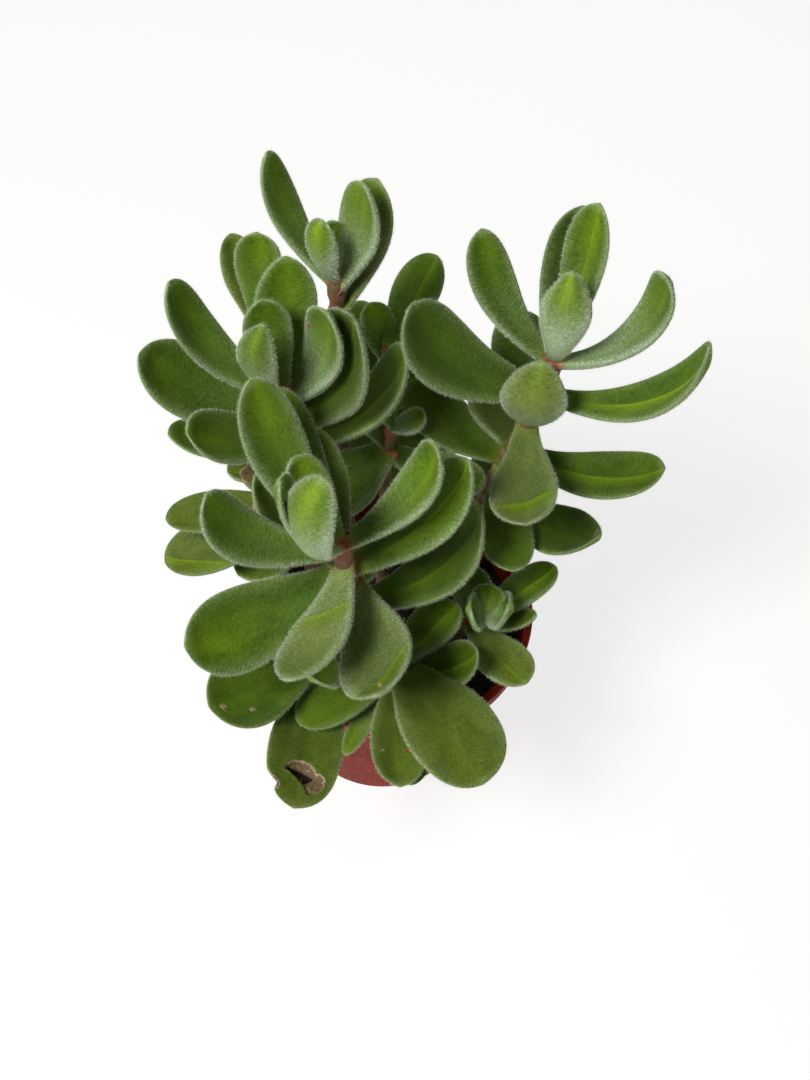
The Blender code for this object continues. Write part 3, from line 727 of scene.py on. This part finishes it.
def leaf_spine(leaf, root, share):
    """The leaf's midline at shares of its length: points, forward directions and bearings."""
    fine = np.linspace(0.0, 1.0, SPINE_STEPS + 1)
    slope = np.radians(leaf.slope + leaf.bend * fine ** leaf.late)
    bearing = np.radians(leaf.bearing + leaf.swing * fine)
    level = np.cos(slope)
    ahead = np.stack([level * np.cos(bearing), level * np.sin(bearing), np.sin(slope)], axis=1)
    steps = (ahead[1:] + ahead[:-1]) * 0.5 * leaf.length / SPINE_STEPS
    points = root + np.concatenate([np.zeros((1, 3)), np.cumsum(steps, axis=0)])
    middle, ahead = (
        np.stack([np.interp(share, fine, values[:, k]) for k in range(3)], axis=1)
        for values in (points, ahead)
    )
    return middle, unit(ahead), np.interp(share, fine, bearing)


def leaf_lift(leaf, grid, share, phase, rng):
    """How far a leaf's surface stands above its midline: a fleshy body with a fold and a keel."""
    sh, c, s, half = grid.sh, grid.c, grid.s, grid.half
    thick = np.minimum(thickness(share, leaf)[:, None], 2.0 * half + 0.3)
    body = np.sign(s) * np.abs(s) ** 0.82
    lift = np.where(s > 0, TOP_SHARE, 1.0 - TOP_SHARE) * thick * body
    lift = lift + CUP * half * np.abs(c) ** 1.7
    scale = np.minimum(1.0, leaf.width / 14.0)
    fold = rng.uniform(0.85, 1.35) * rise(0.08, 0.45, sh) * fall(0.86, 1.0, sh)
    valley = np.clip(1.0 - np.sqrt(c * c + 0.0016), 0.0, 1.0) ** 1.5
    lift = lift - np.where(s > 0, fold * scale * valley, 0.0)
    keel = 0.45 * rise(0.45, 0.85, sh) * fall(0.92, 1.0, sh)
    lift = lift - np.where(s < 0, keel * scale * hump(c, 0.0, 0.28), 0.0)
    swell = 0.10 * np.sin(7.0 * sh + 2.3 * c + phase[2])
    swell = swell + 0.07 * np.sin(13.0 * sh - 3.1 * c + phase[3])
    return lift + swell * np.sign(s) * np.abs(s) * rise(0.1, 0.3, sh)


def torn_hollow(right, far, turned, radius, s):
    """A torn hollow under a flap: how far it moves the surface, and how deep its mark is."""
    away = np.hypot(right, far) / (radius * np.interp(turned, TORN_TURN, TORN_REACH))
    beside = 0.8 * (np.interp(right, *FLAP_EDGE) - far)
    inside = fall(0.92, 1.0, away) * rise(-0.15, 0.15, beside) * (s > 0)
    dark_half = np.interp(right, *DARK_HALF)
    hole = np.exp(-((far - np.interp(right, *DARK_MIDDLE)) / dark_half) ** 4) * inside
    lip = hump(away, 0.97, 0.05) * rise(-0.3, 0.2, beside)
    edge = hump(beside, -0.15, 0.25) * fall(0.90, 1.0, away)
    folds = 0.14 * np.sin(far * 1.9 + 1.5 * np.sin(right * 1.1)) * np.sin(right * 1.6 + 0.7)
    sunk = inside * (folds - 0.8 - 0.6 * (1.0 - away)) - 1.1 * hole + 0.25 * lip + 0.6 * edge
    worn = 0.47 + 0.18 * rise(-0.5, 2.0, far) + 0.05 * np.sin(2.1 * right + 1.3 * far)
    bare = np.maximum(worn * inside, 0.34 * np.maximum(lip, 0.9 * edge))
    return np.where(s > 0, sunk, 0.0), np.maximum(bare, 1.1 * hole) * (s > -0.1)


def leaf_marks(leaf, grid, marks, lift):
    """A leaf's lift with its torn hollow sunk in, and how deep its marks are."""
    mark = np.zeros_like(grid.across)
    for at, over, radius, depth in marks:
        right, far = grid.across - over * grid.half, grid.along - at * leaf.length
        turned = np.arctan2(far, right)
        if radius > TORN_RADIUS:
            sunk, deep = torn_hollow(right, far, turned, radius, grid.s)
            lift, mark = lift + sunk, np.maximum(mark, deep)
            continue
        ragged = 1.0 + 0.10 * np.sin(2.0 * turned + 0.5) + 0.07 * np.sin(3.0 * turned + 2.0)
        ragged = radius * (ragged + 0.05 * np.sin(7.0 * turned))
        spot = fall(0.55, 1.15, np.hypot(right, far) / ragged) * (grid.s > -0.2)
        if depth < 0.0:
            mark = np.where(spot > 0.02, depth * spot, mark)
        else:
            mark = np.maximum(mark, depth * spot)
    return lift, mark


def bright_fold(leaf, grid, folded):
    """Millimetres beyond a leaf's fold, and how bright its painted highlight is there."""
    ends = (folded[:2], folded[2:4])
    begin, stop = (
        np.array([over * np.interp(at, grid.sh[:, 0], grid.half[:, 0]), at * leaf.length])
        for at, over in ends
    )
    length = np.linalg.norm(stop - begin)
    heading = (stop - begin) / length
    right, far = grid.across - begin[0], grid.along - begin[1]
    on_line = (right * heading[0] + far * heading[1]) / length
    bright = folded[4] * rise(-0.25, 0.1, on_line) * fall(0.95, 1.15, on_line)
    return far * heading[0] - right * heading[1], bright


def leaf_bloom(grid, look, front, frosting):
    """How much pale bloom lies on a leaf: on its margins and tip, and near its root when young."""
    sh, c, age, frost = grid.sh, grid.c, look.age, look.frost
    margin = rise(0.52, 0.98, np.abs(c)) * rise(0.05, 0.25, sh) * (1.0 - 0.6 * age)
    young = max(max(0.0, 1.0 - age / 0.45), frost)
    near_root = fall(0.35, 0.85, sh) * rise(0.03, 0.12, sh)
    on_top = margin * np.where(front > 0, 0.62, 0.42) + (0.25 * young + 0.45 * frost) * near_root
    on_top = on_top + 0.12 * frost + frosting
    underneath = 0.60 * margin + (0.20 + 0.75 * young) * near_root + 0.12 * frost
    bloom = np.where(grid.s > -0.15, on_top, underneath) + 0.5 * rise(0.93, 1.0, sh)
    brink = 0.75 * rise(0.90, 0.99, np.abs(c)) * rise(0.06, 0.2, sh)
    brink = brink + 0.5 * rise(0.97, 1.0, sh)
    return np.minimum(1.0, np.maximum(bloom * (1.0 - 0.55 * age), brink * (1.0 - 0.35 * age)))


def leaf_vectors(leaf, grid, number, ahead, across, tip_ahead):
    """Places for a leaf's patterns, with the nap combed outwards, and the way that hairs lean."""
    layer = np.where(grid.s > 0, 0.0, BELOW_SHIFT) + number * LEAF_SHIFT + 0 * grid.along
    place = np.stack([grid.across, grid.along, layer], axis=-1)
    over = np.abs(grid.across)
    comb = np.stack([
        0.94 * grid.along - 0.34 * over, 0.34 * grid.along + 0.94 * over,
        layer + np.sign(grid.c) * SIDE_SHIFT,
    ], axis=-1)
    outward = np.tanh(4.0 * grid.c) * (1.0 - 0.6 * rise(0.85, 1.0, grid.sh))
    forward = 0.30 + 0.8 * rise(0.7, 1.0, grid.sh)
    run = unit(forward[..., None] * ahead[:, None, :] + across * outward[..., None])
    foot = [0.0, 0.0, number * LEAF_SHIFT]
    vectors = {
        "place": (place, [[0.0, leaf.length, foot[2]], foot]),
        "comb": (comb, [[leaf.length, 0.0, foot[2]], foot]),
        "run": (run, [tip_ahead[0], ahead[0]]),
    }
    return {
        name: np.concatenate([values.reshape(-1, 3), ends])
        for name, (values, ends) in vectors.items()
    }


def leaf_skin(leaf, root, look):
    """One leaf's vertices, faces and surface readings, as arrays."""
    rng = np.random.default_rng(LEAF_SEED + look.number)
    age, olive = look.age, look.olive
    torn = [m for m in look.marks if m[2] > TORN_RADIUS]
    fine = TORN_FINENESS if torn else 1.0
    rings = int((26 + leaf.length * 0.25) * fine)
    sides = int((20 + leaf.width * 0.5) * fine) // 2 * 2
    share = 1.0 - (1.0 - np.linspace(0.0, 1.0, rings)[:-1]) ** 1.6
    middle, ahead, bearing = leaf_spine(leaf, root, share)
    side = np.stack([-np.sin(bearing), np.cos(bearing), np.zeros_like(bearing)], axis=1)
    up = np.cross(ahead, side)
    roll = np.radians(leaf.roll)
    across = (side * np.cos(roll) + up * np.sin(roll))[:, None, :]
    above = (up * np.cos(roll) - side * np.sin(roll))[:, None, :]

    turn = np.linspace(0.0, 2.0 * np.pi, sides, endpoint=False)
    c, s, sh = np.cos(turn)[None, :], np.sin(turn)[None, :], share[:, None]
    half = half_width(share, leaf.width, look.point)[:, None]
    phase = rng.uniform(0, 2 * np.pi, 6)
    wave = 0.020 * np.sin(5.1 * sh + phase[0]) * c
    wave = wave + 0.016 * np.sin(9.0 * sh + phase[1]) * np.abs(c)
    width = half * (1.0 + wave * rise(0.15, 0.4, sh))
    for at, *_ in torn:
        bite = 0.26 * hump(sh - at, 0.075, 0.035) * np.clip(-c, 0.0, 1.0)
        width = width * (1.0 - bite)
    grid = Grid(sh, c, s, half, sh * leaf.length + 0 * c, c * width)
    lift = leaf_lift(leaf, grid, share, phase, rng)
    lift, mark = leaf_marks(leaf, grid, look.marks, lift)
    points = middle[:, None, :] + across * (c * width)[..., None] + above * lift[..., None]

    # Painted highlights: a bright line along the middle furrow on its lit side, a bright patch near
    # the tip, and a bright patch under the leaf towards its tip
    front = -c * math.copysign(1.0, math.cos(math.radians(leaf.bearing)))
    to_right = max(0.0, math.cos(math.radians(leaf.bearing + 0.7 * leaf.swing))) ** 0.7
    painted_crease = rise(0.10, 0.45, sh) * to_right * rng.uniform(0.7, 1.0)
    painted_crease = painted_crease * (0.25 if look.even else 1.0) + 0 * c
    off_middle = rng.uniform(-0.35, 0.35)
    patch = hump(c, off_middle, 0.6) * rise(0.40, 0.97, sh) * rng.uniform(0.35, 0.70)
    patch = patch * (1.0 - 0.8 * age)
    back = 0.65 * hump(c, 0.0, 0.40) * rise(0.55, 0.92, sh)
    lit, frosting = front, 0.0
    if look.folded:
        beyond, painted_crease = bright_fold(leaf, grid, look.folded)
        lit = beyond / look.folded[5]
        patch = 0.15 * patch
        frosting = 0.30 * fall(-0.6, 0.2, beyond) + 0.30 * rise(1.5, 5.5, beyond)
        ridge = 0.45 * hump(beyond, -0.2, 0.9) * painted_crease * (s > 0) * (1 - np.abs(c))
        points = points + above * ridge[..., None]
    painted_glow = np.where(s > -0.15, patch * (1.0 - 0.5 * to_right), back)
    painted_crease = np.where(s > -0.15, painted_crease, 0.0)
    shine = (1.0 - 0.50 * age) * (1.0 - (0.0 if look.folded else 0.6) * olive)
    bloom = leaf_bloom(grid, look, front, frosting)

    shape = grid.along.shape
    tip, tip_ahead, _ = leaf_spine(leaf, root, np.array([1.0]))
    verts = np.concatenate([points.reshape(-1, 3), tip + tip_ahead * TIP_REACH, middle[:1]])
    # The leaf's painted light and shade from the tables, with a little random variation
    tone = look.tone + TONE_SCATTER * rng.uniform(-1.0, 1.0)
    band = np.abs(c) ** 9 + rise(0.94, 1.0, sh) * 0.5
    fuzz = (0.17 + 1.8 * band) * rise(0.02, 0.12, sh) * (1.15 - 0.65 * age)
    readings = with_ends(shape, {
        "along": (sh, 1.0, 0.0),
        "age": (age, age, age),
        "olive": (olive, olive, olive),
        "tone": (tone, tone, tone),
        "upper": (rise(-0.25, 0.25, s), 0.5, 0.5),
        "bloom": (bloom, 0.5, 0.0),
        "painted_glow": (painted_glow * shine, 0.6 * shine, 0.0),
        "painted_crease": (painted_crease * shine, 0.0, 0.0),
        "lit": (lit, 0.0, 0.0),
        "mark": (mark, 0.0, 0.0),
        "fuzz": (fuzz * (1.0 - np.clip(mark * 2, 0, 1)), 1.0, 0.0),
    })
    vectors = leaf_vectors(leaf, grid, look.number, ahead, across, tip_ahead)
    return verts, closed_tube(rings - 1, sides), readings, vectors


def skin_mesh(name, parts):
    """One smooth mesh from several skins, with their readings kept on its vertices."""
    verts, faces, numbers, vectors, first = [], [], {}, {}, 0
    for v, f, n, w in parts:
        verts.append(v)
        faces += [tuple(i + first for i in face) for face in f]
        first += len(v)
        for kept, given in ((numbers, n), (vectors, w)):
            for key, value in given.items():
                kept.setdefault(key, []).append(value)
    mesh = plain_mesh(name, np.concatenate(verts), faces)
    for kept, kind, field in ((numbers, "FLOAT", "value"), (vectors, "FLOAT_VECTOR", "vector")):
        for key, value in kept.items():
            data = mesh.attributes.new(key, kind, "POINT").data
            data.foreach_set(field, np.concatenate(value).ravel())
    return mesh


def stalk_skin(stem, curve, number, tip_youth):
    """A stem's skin: swollen at its nodes, ringed where old leaves fell, and slightly uneven."""
    rng = np.random.default_rng(STEM_SEED + number)
    turn = np.linspace(0.0, 2.0 * np.pi, STEM_SIDES, endpoint=False)
    ahead = unit(np.gradient(curve, axis=0))
    side = unit(np.cross(ahead, np.array([0.0, 1.0, 0.0])))
    up = np.cross(side, ahead)
    height = curve[:, 2]
    share = (height - height[0]) / (height[-1] - height[0])
    radius = stem.foot_radius + (stem.tip_radius - stem.foot_radius) * share
    collar, ring, scars = (np.zeros_like(height) for _ in range(3))
    heights = [leaf[0] for leaf in stem.leaves]
    for h in heights:
        collar = np.maximum(collar, hump(height - h, -1.2, 1.3))
        ring = np.maximum(ring, hump(height - h, -3.2, 1.0))
    for h in np.arange(SOIL_TOP + 5.0, min(heights) - 5.0, SCAR_STEP):
        scars = np.maximum(scars, hump(height - h, rng.uniform(-1, 1), 0.8))
    radius = radius + 0.50 * collar + 0.32 * scars
    radius = radius * (1.0 - rise(0.985, 1.0, share) * 0.5)
    tall, round_it = height[:, None], turn[None, :]
    uneven = 1.0 + 0.035 * np.sin(tall * 0.9 + 2.0 * round_it)
    uneven = uneven + 0.02 * np.sin(3.0 * round_it + tall * 0.35)
    around = side[:, None, :] * np.cos(turn)[None, :, None]
    around = around + up[:, None, :] * np.sin(turn)[None, :, None]
    points = curve[:, None, :] + around * (radius[:, None] * uneven)[..., None]
    verts = np.concatenate([points.reshape(-1, 3), curve[-1:] + ahead[-1:] * 0.4, curve[:1]])

    shape = uneven.shape
    below_tip = (height[-1] - height) / OLD_STEM_BELOW_TIP
    youth = tip_youth * np.clip(1.0 - below_tip, 0.0, 1.0)
    readings = with_ends(shape, {
        "young": (youth[:, None], youth[-1], youth[0]),
        "collar": (np.maximum(collar, 0.7 * scars)[:, None], 0.0, 0.0),
        "ring": (ring[:, None], 0.0, 0.0),
    })
    wrap = np.stack([
        np.broadcast_to(np.cos(round_it) * 2, shape), np.broadcast_to(tall, shape),
        np.broadcast_to(np.sin(round_it) * 2 + number * STEM_SHIFT, shape),
    ], axis=-1)
    ends = [[0, height[-1], 0], [0, height[0], 0]]
    vectors = {"place": np.concatenate([wrap.reshape(-1, 3), ends])}
    return verts, closed_tube(len(curve), STEM_SIDES), readings, vectors


# What grows on surfaces

class Growth(Tree):
    """A node tree that takes a mesh and named numbers, and gives what grows on the mesh."""

    def __init__(self, name, numbers):
        group = bpy.data.node_groups.new(name, "GeometryNodeTree")
        super().__init__(group)
        self.socket("Surface", "INPUT", "Geometry")
        for title in numbers:
            self.socket(title, "INPUT", "Int" if title == "Seed" else "Float")
        self.socket("Grown", "OUTPUT", "Geometry")
        self.given = self.add("NodeGroupInput").outputs

    def socket(self, title, direction, kind):
        """One of the tree's own inputs or outputs."""
        self.tree.interface.new_socket(title, in_out=direction, socket_type=f"NodeSocket{kind}")

    def read(self, name, kind):
        """A surface reading."""
        node = self.add("GeometryNodeInputNamedAttribute", {"Name": name}, data_type=kind)
        return node.outputs["Attribute"]

    def scatter(self, density):
        """Points strewn over the surface, and the surface's normals there."""
        given = {"Mesh": self.given["Surface"], "Density": density, "Seed": self.given["Seed"]}
        return self.add("GeometryNodeDistributePointsOnFaces", given).outputs

    def draw(self, kind, low, high, seed=0):
        """A random number or vector between two."""
        first = 2 if kind == "FLOAT" else 0
        given = {first: low, first + 1: high, "Seed": seed}
        return self.add("FunctionNodeRandomValue", given, data_type=kind).outputs[first // 2]

    def set_out(self, points, shape, turn, scale):
        """Copies of a shape set on points, as plain mesh."""
        given = {"Points": points, "Instance": shape.outputs["Mesh"], "Rotation": turn}
        placed = self.add("GeometryNodeInstanceOnPoints", {**given, "Scale": scale})
        given = {"Geometry": placed.outputs["Instances"]}
        return self.add("GeometryNodeRealizeInstances", given).outputs["Geometry"]

    def done(self, geometry, finish):
        """The tree, with its last mesh in a finish."""
        skin = self.add("GeometryNodeSetMaterial", {"Geometry": geometry, "Material": finish})
        self.add("NodeGroupOutput", {0: skin.outputs["Geometry"]})
        return self.tree


def grown_mesh(name, source, tree, values):
    """The plain mesh that a node tree grows on a source mesh."""
    holder = add_object(source)
    modifier = holder.modifiers.new(name, "NODES")
    modifier.node_group = tree
    for item in tree.interface.items_tree:
        if item.item_type == "SOCKET" and item.in_out == "INPUT" and item.name in values:
            modifier[item.identifier] = values[item.name]
    mesh = worked_out(holder)
    mesh.name = name
    bpy.data.objects.remove(holder, do_unlink=True)
    return mesh


def hair_growth(finish):
    """Short tapered hairs that lean towards the leaf's tip and away from its midline."""
    g = Growth("velvet hairs", (*HAIRS, "Seed"))
    spots = g.scatter(g.times(g.read("fuzz", "FLOAT"), g.given["Hairs per square metre"]))
    lean = g.vectors("SCALE", g.read("run", "FLOAT_VECTOR"), g.given["Lean"])
    stray = g.draw("FLOAT_VECTOR", *STRAY)
    toward = g.vectors("ADD", g.vectors("ADD", spots["Normal"], lean), stray)
    aim = g.add("FunctionNodeAlignRotationToVector", {"Vector": toward}, axis="Z")
    hair = g.add("GeometryNodeMeshCone", {
        "Vertices": 3, "Radius Top": 0.0, "Radius Bottom": g.given["Hair radius"],
        "Depth": g.given["Hair length"],
    }, fill_type="NONE")
    size = g.draw("FLOAT", *HAIR_SIZES)
    return g.done(g.set_out(spots["Points"], hair, aim.outputs["Rotation"], size), finish)


def crumb_growth(finish):
    """Rough clods strewn over a surface and half sunk in it."""
    g = Growth("strewn crumbs", ("Crumbs per square metre", "Smallest", "Largest", "Seed"))
    spots = g.scatter(g.given["Crumbs per square metre"])
    clod = g.add("GeometryNodeMeshIcoSphere", {"Radius": 1.0, "Subdivisions": 2})
    size = g.draw("FLOAT", g.given["Smallest"], g.given["Largest"], 4)
    squash = g.draw("FLOAT_VECTOR", *SQUASH, 8)
    turn = g.draw("FLOAT_VECTOR", (0.0, 0.0, 0.0), (6.28, 6.28, 6.28), 12)
    clods = g.set_out(spots["Points"], clod, turn, g.vectors("SCALE", squash, size))
    lumpy = g.add("ShaderNodeTexNoise", {"Scale": CLOD_GRAIN, "Detail": 1.0}).outputs["Color"]
    shift = g.vectors("SCALE", g.vectors("SUBTRACT", lumpy, (0.5, 0.5, 0.5)), CLOD_LUMPS)
    rough = g.add("GeometryNodeSetPosition", {"Geometry": clods, "Offset": shift})
    return g.done(rough.outputs["Geometry"], finish)


def leaf_look(name, leaf, from_tip, number):
    """How one leaf looks, from its place on its stem and from the tables."""
    key = (leaf.height, leaf.bearing)
    words = [word for word, leaves in TRAITS.items() if key in leaves]
    age = min(1.0, max(0.0, from_tip / OLD_LEAF_BELOW_TIP)) ** 0.8
    grown = min(1.0, max(0.1, (leaf.length - BUD_LENGTH) / OLD_LEAF_GROWTH))
    age = min(1.0, age + STEM_AGE.get(name, 0.0)) * grown
    age = age * 0.5 if "frosted" in words else age
    return Look(
        number=number,
        age=age,
        marks=MARKS.get(key, ()),
        point=POINTED.get(key, BLUNT),
        tone=sum(LIGHT_AND_SHADE_TONES.get(word, 0.0) for word in words),
        frost=FROST if "frosted" in words else 0.0,
        olive=OLIVE if "olive" in words else OLIVE_BY_AGE * age,
        folded=FOLDED.get(key),
        even="even" in words or "frosted" in words,
    )


def make_leafy_stem(name, number, stem_skin, leaf_cover, hairs):
    """One leafy stem: its stalk, its leaves and their hairs."""
    stem = STEMS[name]
    curve = smooth_route(stem.route, STEM_STEP)
    youth = TIP_YOUTH.get(name, 1.0)
    stalk = skin_mesh(f"{name}_stalk", [stalk_skin(stem, curve, number, youth)])
    skins = []
    for count, row in enumerate(stem.leaves, number * LEAVES_PER_STEM):
        leaf = Leaf(*row)
        k = min(int(np.searchsorted(curve[:, 2], leaf.height)), len(curve) - 1)
        bearing = math.radians(leaf.bearing)
        root = curve[k] - ROOT_SUNK * np.array([math.cos(bearing), math.sin(bearing), 0.0])
        look = leaf_look(name, leaf, curve[-1][2] - leaf.height, count)
        skins.append(leaf_skin(leaf, root, look))
    leaves = skin_mesh(f"{name}_leaves", skins)
    fuzz = grown_mesh(f"{name}_hairs", leaves.copy(), hairs, {**HAIRS, "Seed": number})
    for mesh, finish in ((stalk, stem_skin), (leaves, leaf_cover), (fuzz, None)):
        dress(add_object(mesh, finish), name)


# Pot and soil

def wall_radius(height):
    """Outer radius of the pot's tapered wall below its band."""
    band_foot = POT_HEIGHT - BAND_HEIGHT
    return BASE_RADIUS + (RIM_RADIUS - BAND_STEP - BASE_RADIUS) * height / band_foot


def arc(centre, radius, start, stop, count):
    """Points of a circle's arc in the pot's section."""
    angles = np.radians(np.linspace(start, stop, count))
    return [(centre[0] + radius * math.cos(a), centre[1] + radius * math.sin(a)) for a in angles]


def pot_section():
    """The pot's section at +X, down its outer side and back up inside, as radius and height."""
    band_foot = POT_HEIGHT - BAND_HEIGHT
    inner_rim = RIM_RADIUS - BAND_STEP - WALL
    lip = POT_HEIGHT - LIP_RADIUS
    step = wall_radius(band_foot) + STEP_ROUND
    inner_foot = (wall_radius(FLOOR) - WALL - FOOT_ROUND, FLOOR + FOOT_ROUND)
    outer = [
        *arc((RIM_RADIUS - LIP_RADIUS, lip), LIP_RADIUS, 90, 0, 7),
        (RIM_RADIUS - 0.12, lip - 1.2),
        *arc((RIM_RADIUS - 0.85, band_foot + BAND_ROUND), BAND_ROUND, 0, -90, 5),
        *arc((step, band_foot - STEP_ROUND), STEP_ROUND, 90, 180, 4),
        *[(wall_radius(h), h) for h in (58, 50, 40, 30, 20, 10, 4)],
        *arc((BASE_RADIUS - 0.8, FOOT_ROUND), FOOT_ROUND, -10, -90, 5),
        *[(r, 0.0) for r in (26, 22, 16, 8, 0)],
    ]
    inner = [
        *[(r, FLOOR) for r in (0, 8, 16, 22, 25)],
        *arc(inner_foot, FOOT_ROUND, -90, 0, 5),
        *[(wall_radius(h) - WALL, h) for h in (10, 20, 30, 40, 50, 58)],
        (inner_rim, band_foot + 0.8),
        *arc((inner_rim + LIP_RADIUS, lip), LIP_RADIUS, 180, 90, 6),
    ]
    return outer + inner


def mesh_of(bm, name):
    """A mesh from a working mesh, which is then freed."""
    mesh = bpy.data.meshes.new(name)
    bm.to_mesh(mesh)
    bm.free()
    return mesh


def drain_holes():
    """Short round bars where the pot's floor is cut through."""
    bars = bmesh.new()
    radius, circle = DRAIN_RADIUS * MM, DRAIN_CIRCLE * MM
    for k in range(DRAIN_COUNT):
        angle = 2.0 * math.pi * (k + 0.5) / DRAIN_COUNT
        place = Matrix.Translation((circle * math.cos(angle), circle * math.sin(angle), 0))
        bmesh.ops.create_cone(
            bars, cap_ends=True, segments=DRAIN_SIDES, radius1=radius, radius2=radius,
            depth=FLOOR * 3 * MM, matrix=place,
        )
    return add_object(mesh_of(bars, "drains"))


def make_pot(finish):
    """The pot turned from its section, with its drain holes cut."""
    bm = bmesh.new()
    ring = [bm.verts.new((r * MM, 0.0, z * MM)) for r, z in pot_section()]
    for a, b in zip(ring, ring[1:] + ring[:1]):
        if a.co.x > 0.0 or b.co.x > 0.0:
            bm.edges.new((a, b))
    bmesh.ops.spin(
        bm, geom=bm.verts[:] + bm.edges[:], cent=(0, 0, 0), axis=(0, 0, 1), angle=2 * math.pi,
        steps=POT_STEPS, use_merge=True, use_duplicate=False,
    )
    bmesh.ops.remove_doubles(bm, verts=bm.verts[:], dist=0.00001)
    bmesh.ops.recalc_face_normals(bm, faces=bm.faces[:])
    pot = add_object(mesh_of(bm, "pot_shell"), finish)
    cutter = drain_holes()
    cut = pot.modifiers.new("drains", "BOOLEAN")
    cut.operation = "DIFFERENCE"
    cut.object = cutter
    cut_mesh = worked_out(pot)
    pot.modifiers.clear()
    pot.data = cut_mesh
    bpy.data.objects.remove(cutter, do_unlink=True)
    pot.data.shade_smooth()
    pot.data.set_sharp_from_angle(angle=math.radians(POT_CREASE))
    dress(pot, "pot")


def soil_height(x, y):
    """How far the soil's surface stands above or below its mean, in millimetres."""
    ripple = np.sin(0.31 * x + 1.7) * np.cos(0.27 * y - 0.6)
    crumb = 0.5 * np.sin(0.71 * x - 0.4 * y)
    return SOIL_RISE * 0.6 * (ripple + crumb)


def make_soil(finish, grit):
    """The pot's filling, lumpy on top, with crumbs and a little pale grit strewn over it."""
    rings, sectors, foot = SOIL_RINGS, SOIL_SECTORS, FLOOR + GAP
    edge = wall_radius(SOIL_TOP) - WALL - SOIL_SLACK
    turn = np.linspace(0.0, 2 * np.pi, sectors, endpoint=False)
    r = edge * np.linspace(0.0, 1.0, rings + 1)[1:, None]
    x, y = r * np.cos(turn), r * np.sin(turn)
    fade = 1.0 - (r / edge) ** 6
    lumps = 0.35 * np.sin(1.3 * x + 0.9 * np.sin(0.8 * y)) * np.sin(1.1 * y + 1.3 * np.sin(0.9 * x))
    z = SOIL_TOP + (soil_height(x, y) + lumps) * fade
    top = np.stack([x, y, z], axis=-1).reshape(-1, 3)
    low = [(wall_radius(h) - WALL - SOIL_SLACK, h) for h in (40.0, 20.0, foot + 1.0)]
    low.append((BASE_RADIUS - WALL - 1.0 - GAP, foot))
    wall = [[rr * math.cos(t), rr * math.sin(t), h] for rr, h in low for t in turn]
    ends = [[0, 0, foot], [0, 0, SOIL_TOP + soil_height(0, 0)]]
    verts = np.concatenate([top, wall, ends])
    faces = [tuple(reversed(f)) for f in closed_tube(rings + len(low), sectors)]
    dress(add_object(plain_mesh("soil_bed", verts, faces), finish), "soil")
    inner = [tuple(reversed(f)) for f in tube_faces(rings - 2, sectors)]
    bed_top = plain_mesh("bed_top", top, inner)
    for label, stuff, amounts in (("soil_crumbs", finish, CRUMBS), ("soil_grit", grit, GRIT)):
        amount, small, large, seed = amounts
        values = {"Smallest": small * MM, "Largest": large * MM, "Seed": seed}
        values["Crumbs per square metre"] = amount / MM / MM
        strewn = grown_mesh(label, bed_top.copy(), crumb_growth(stuff), values)
        dress(add_object(strewn), "soil")


# Floor, camera and light

def make_floor(finish):
    """A wide plain floor under the pot."""
    bm = bmesh.new()
    bmesh.ops.create_grid(bm, x_segments=2, y_segments=2, size=FLOOR_SIZE)
    floor = add_object(mesh_of(bm, "floor"), finish)


def aim_camera():
    """The camera where the photograph was taken from."""
    look, lean = math.radians(LOOK_DOWN), math.radians(LEAN_OF_FRAME)
    ahead = Vector((0.0, math.cos(look), -math.sin(look)))
    level = Vector((1.0, 0.0, 0.0))
    raised = level.cross(ahead)
    right = math.cos(lean) * level + math.sin(lean) * raised
    up = math.cos(lean) * raised - math.sin(lean) * level
    x = (RIM_PIXEL[0] - PHOTO_WIDTH / 2) / FOCAL_PIXELS
    y = (PHOTO_HEIGHT / 2 - RIM_PIXEL[1]) / FOCAL_PIXELS
    place = Vector((0.0, 0.0, RIM_HEIGHT)) - (right * x + up * y + ahead) * RIM_DISTANCE
    turned = Matrix((right, up, -ahead)).transposed().to_4x4()
    data = bpy.data.cameras.new("camera")
    data.sensor_width = SENSOR
    data.lens = FOCAL_PIXELS / PHOTO_HEIGHT * SENSOR
    data.clip_start = NEAREST_SEEN
    camera = add_object(data)
    camera.matrix_world = Matrix.Translation(place * MM) @ turned
    bpy.context.scene.camera = camera


def soft_light(name, place, size, power, colour):
    """A round soft light that faces the plant."""
    data = bpy.data.lights.new(name, "AREA")
    data.shape = "DISK"
    data.size = size
    data.energy = power
    data.color = colour
    light = add_object(data)
    light.location = place
    light.rotation_mode = "QUATERNION"
    light.rotation_quaternion = (Vector(LIT_POINT) - Vector(place)).to_track_quat("-Z", "Y")


def light_studio():
    """Soft daylight from the front left, with pale light all round and a little from behind."""
    world = bpy.data.worlds.new("studio")
    bpy.context.scene.world = world
    world.use_nodes = True
    sky = world.node_tree.nodes["Background"]
    sky.inputs["Color"].default_value = (1.0, 1.0, 1.0, 1.0)
    sky.inputs["Strength"].default_value = SKY_STRENGTH
    for light in LIGHTS:
        soft_light(*light)
    bpy.context.scene.view_settings.view_transform = "Standard"


def main():
    """Dresses the part and sets it in its studio."""
    leaf_cover, stem_skin = leaf_finish(), stem_finish()
    hairs = hair_growth(hair_finish())
    make_pot(pot_finish())
    make_soil(soil_finish(), grit_finish())
    for number, name in enumerate(STEMS):
        make_leafy_stem(name, number, stem_skin, leaf_cover, hairs)
    make_floor(floor_finish())
    aim_camera()
    light_studio()


main()
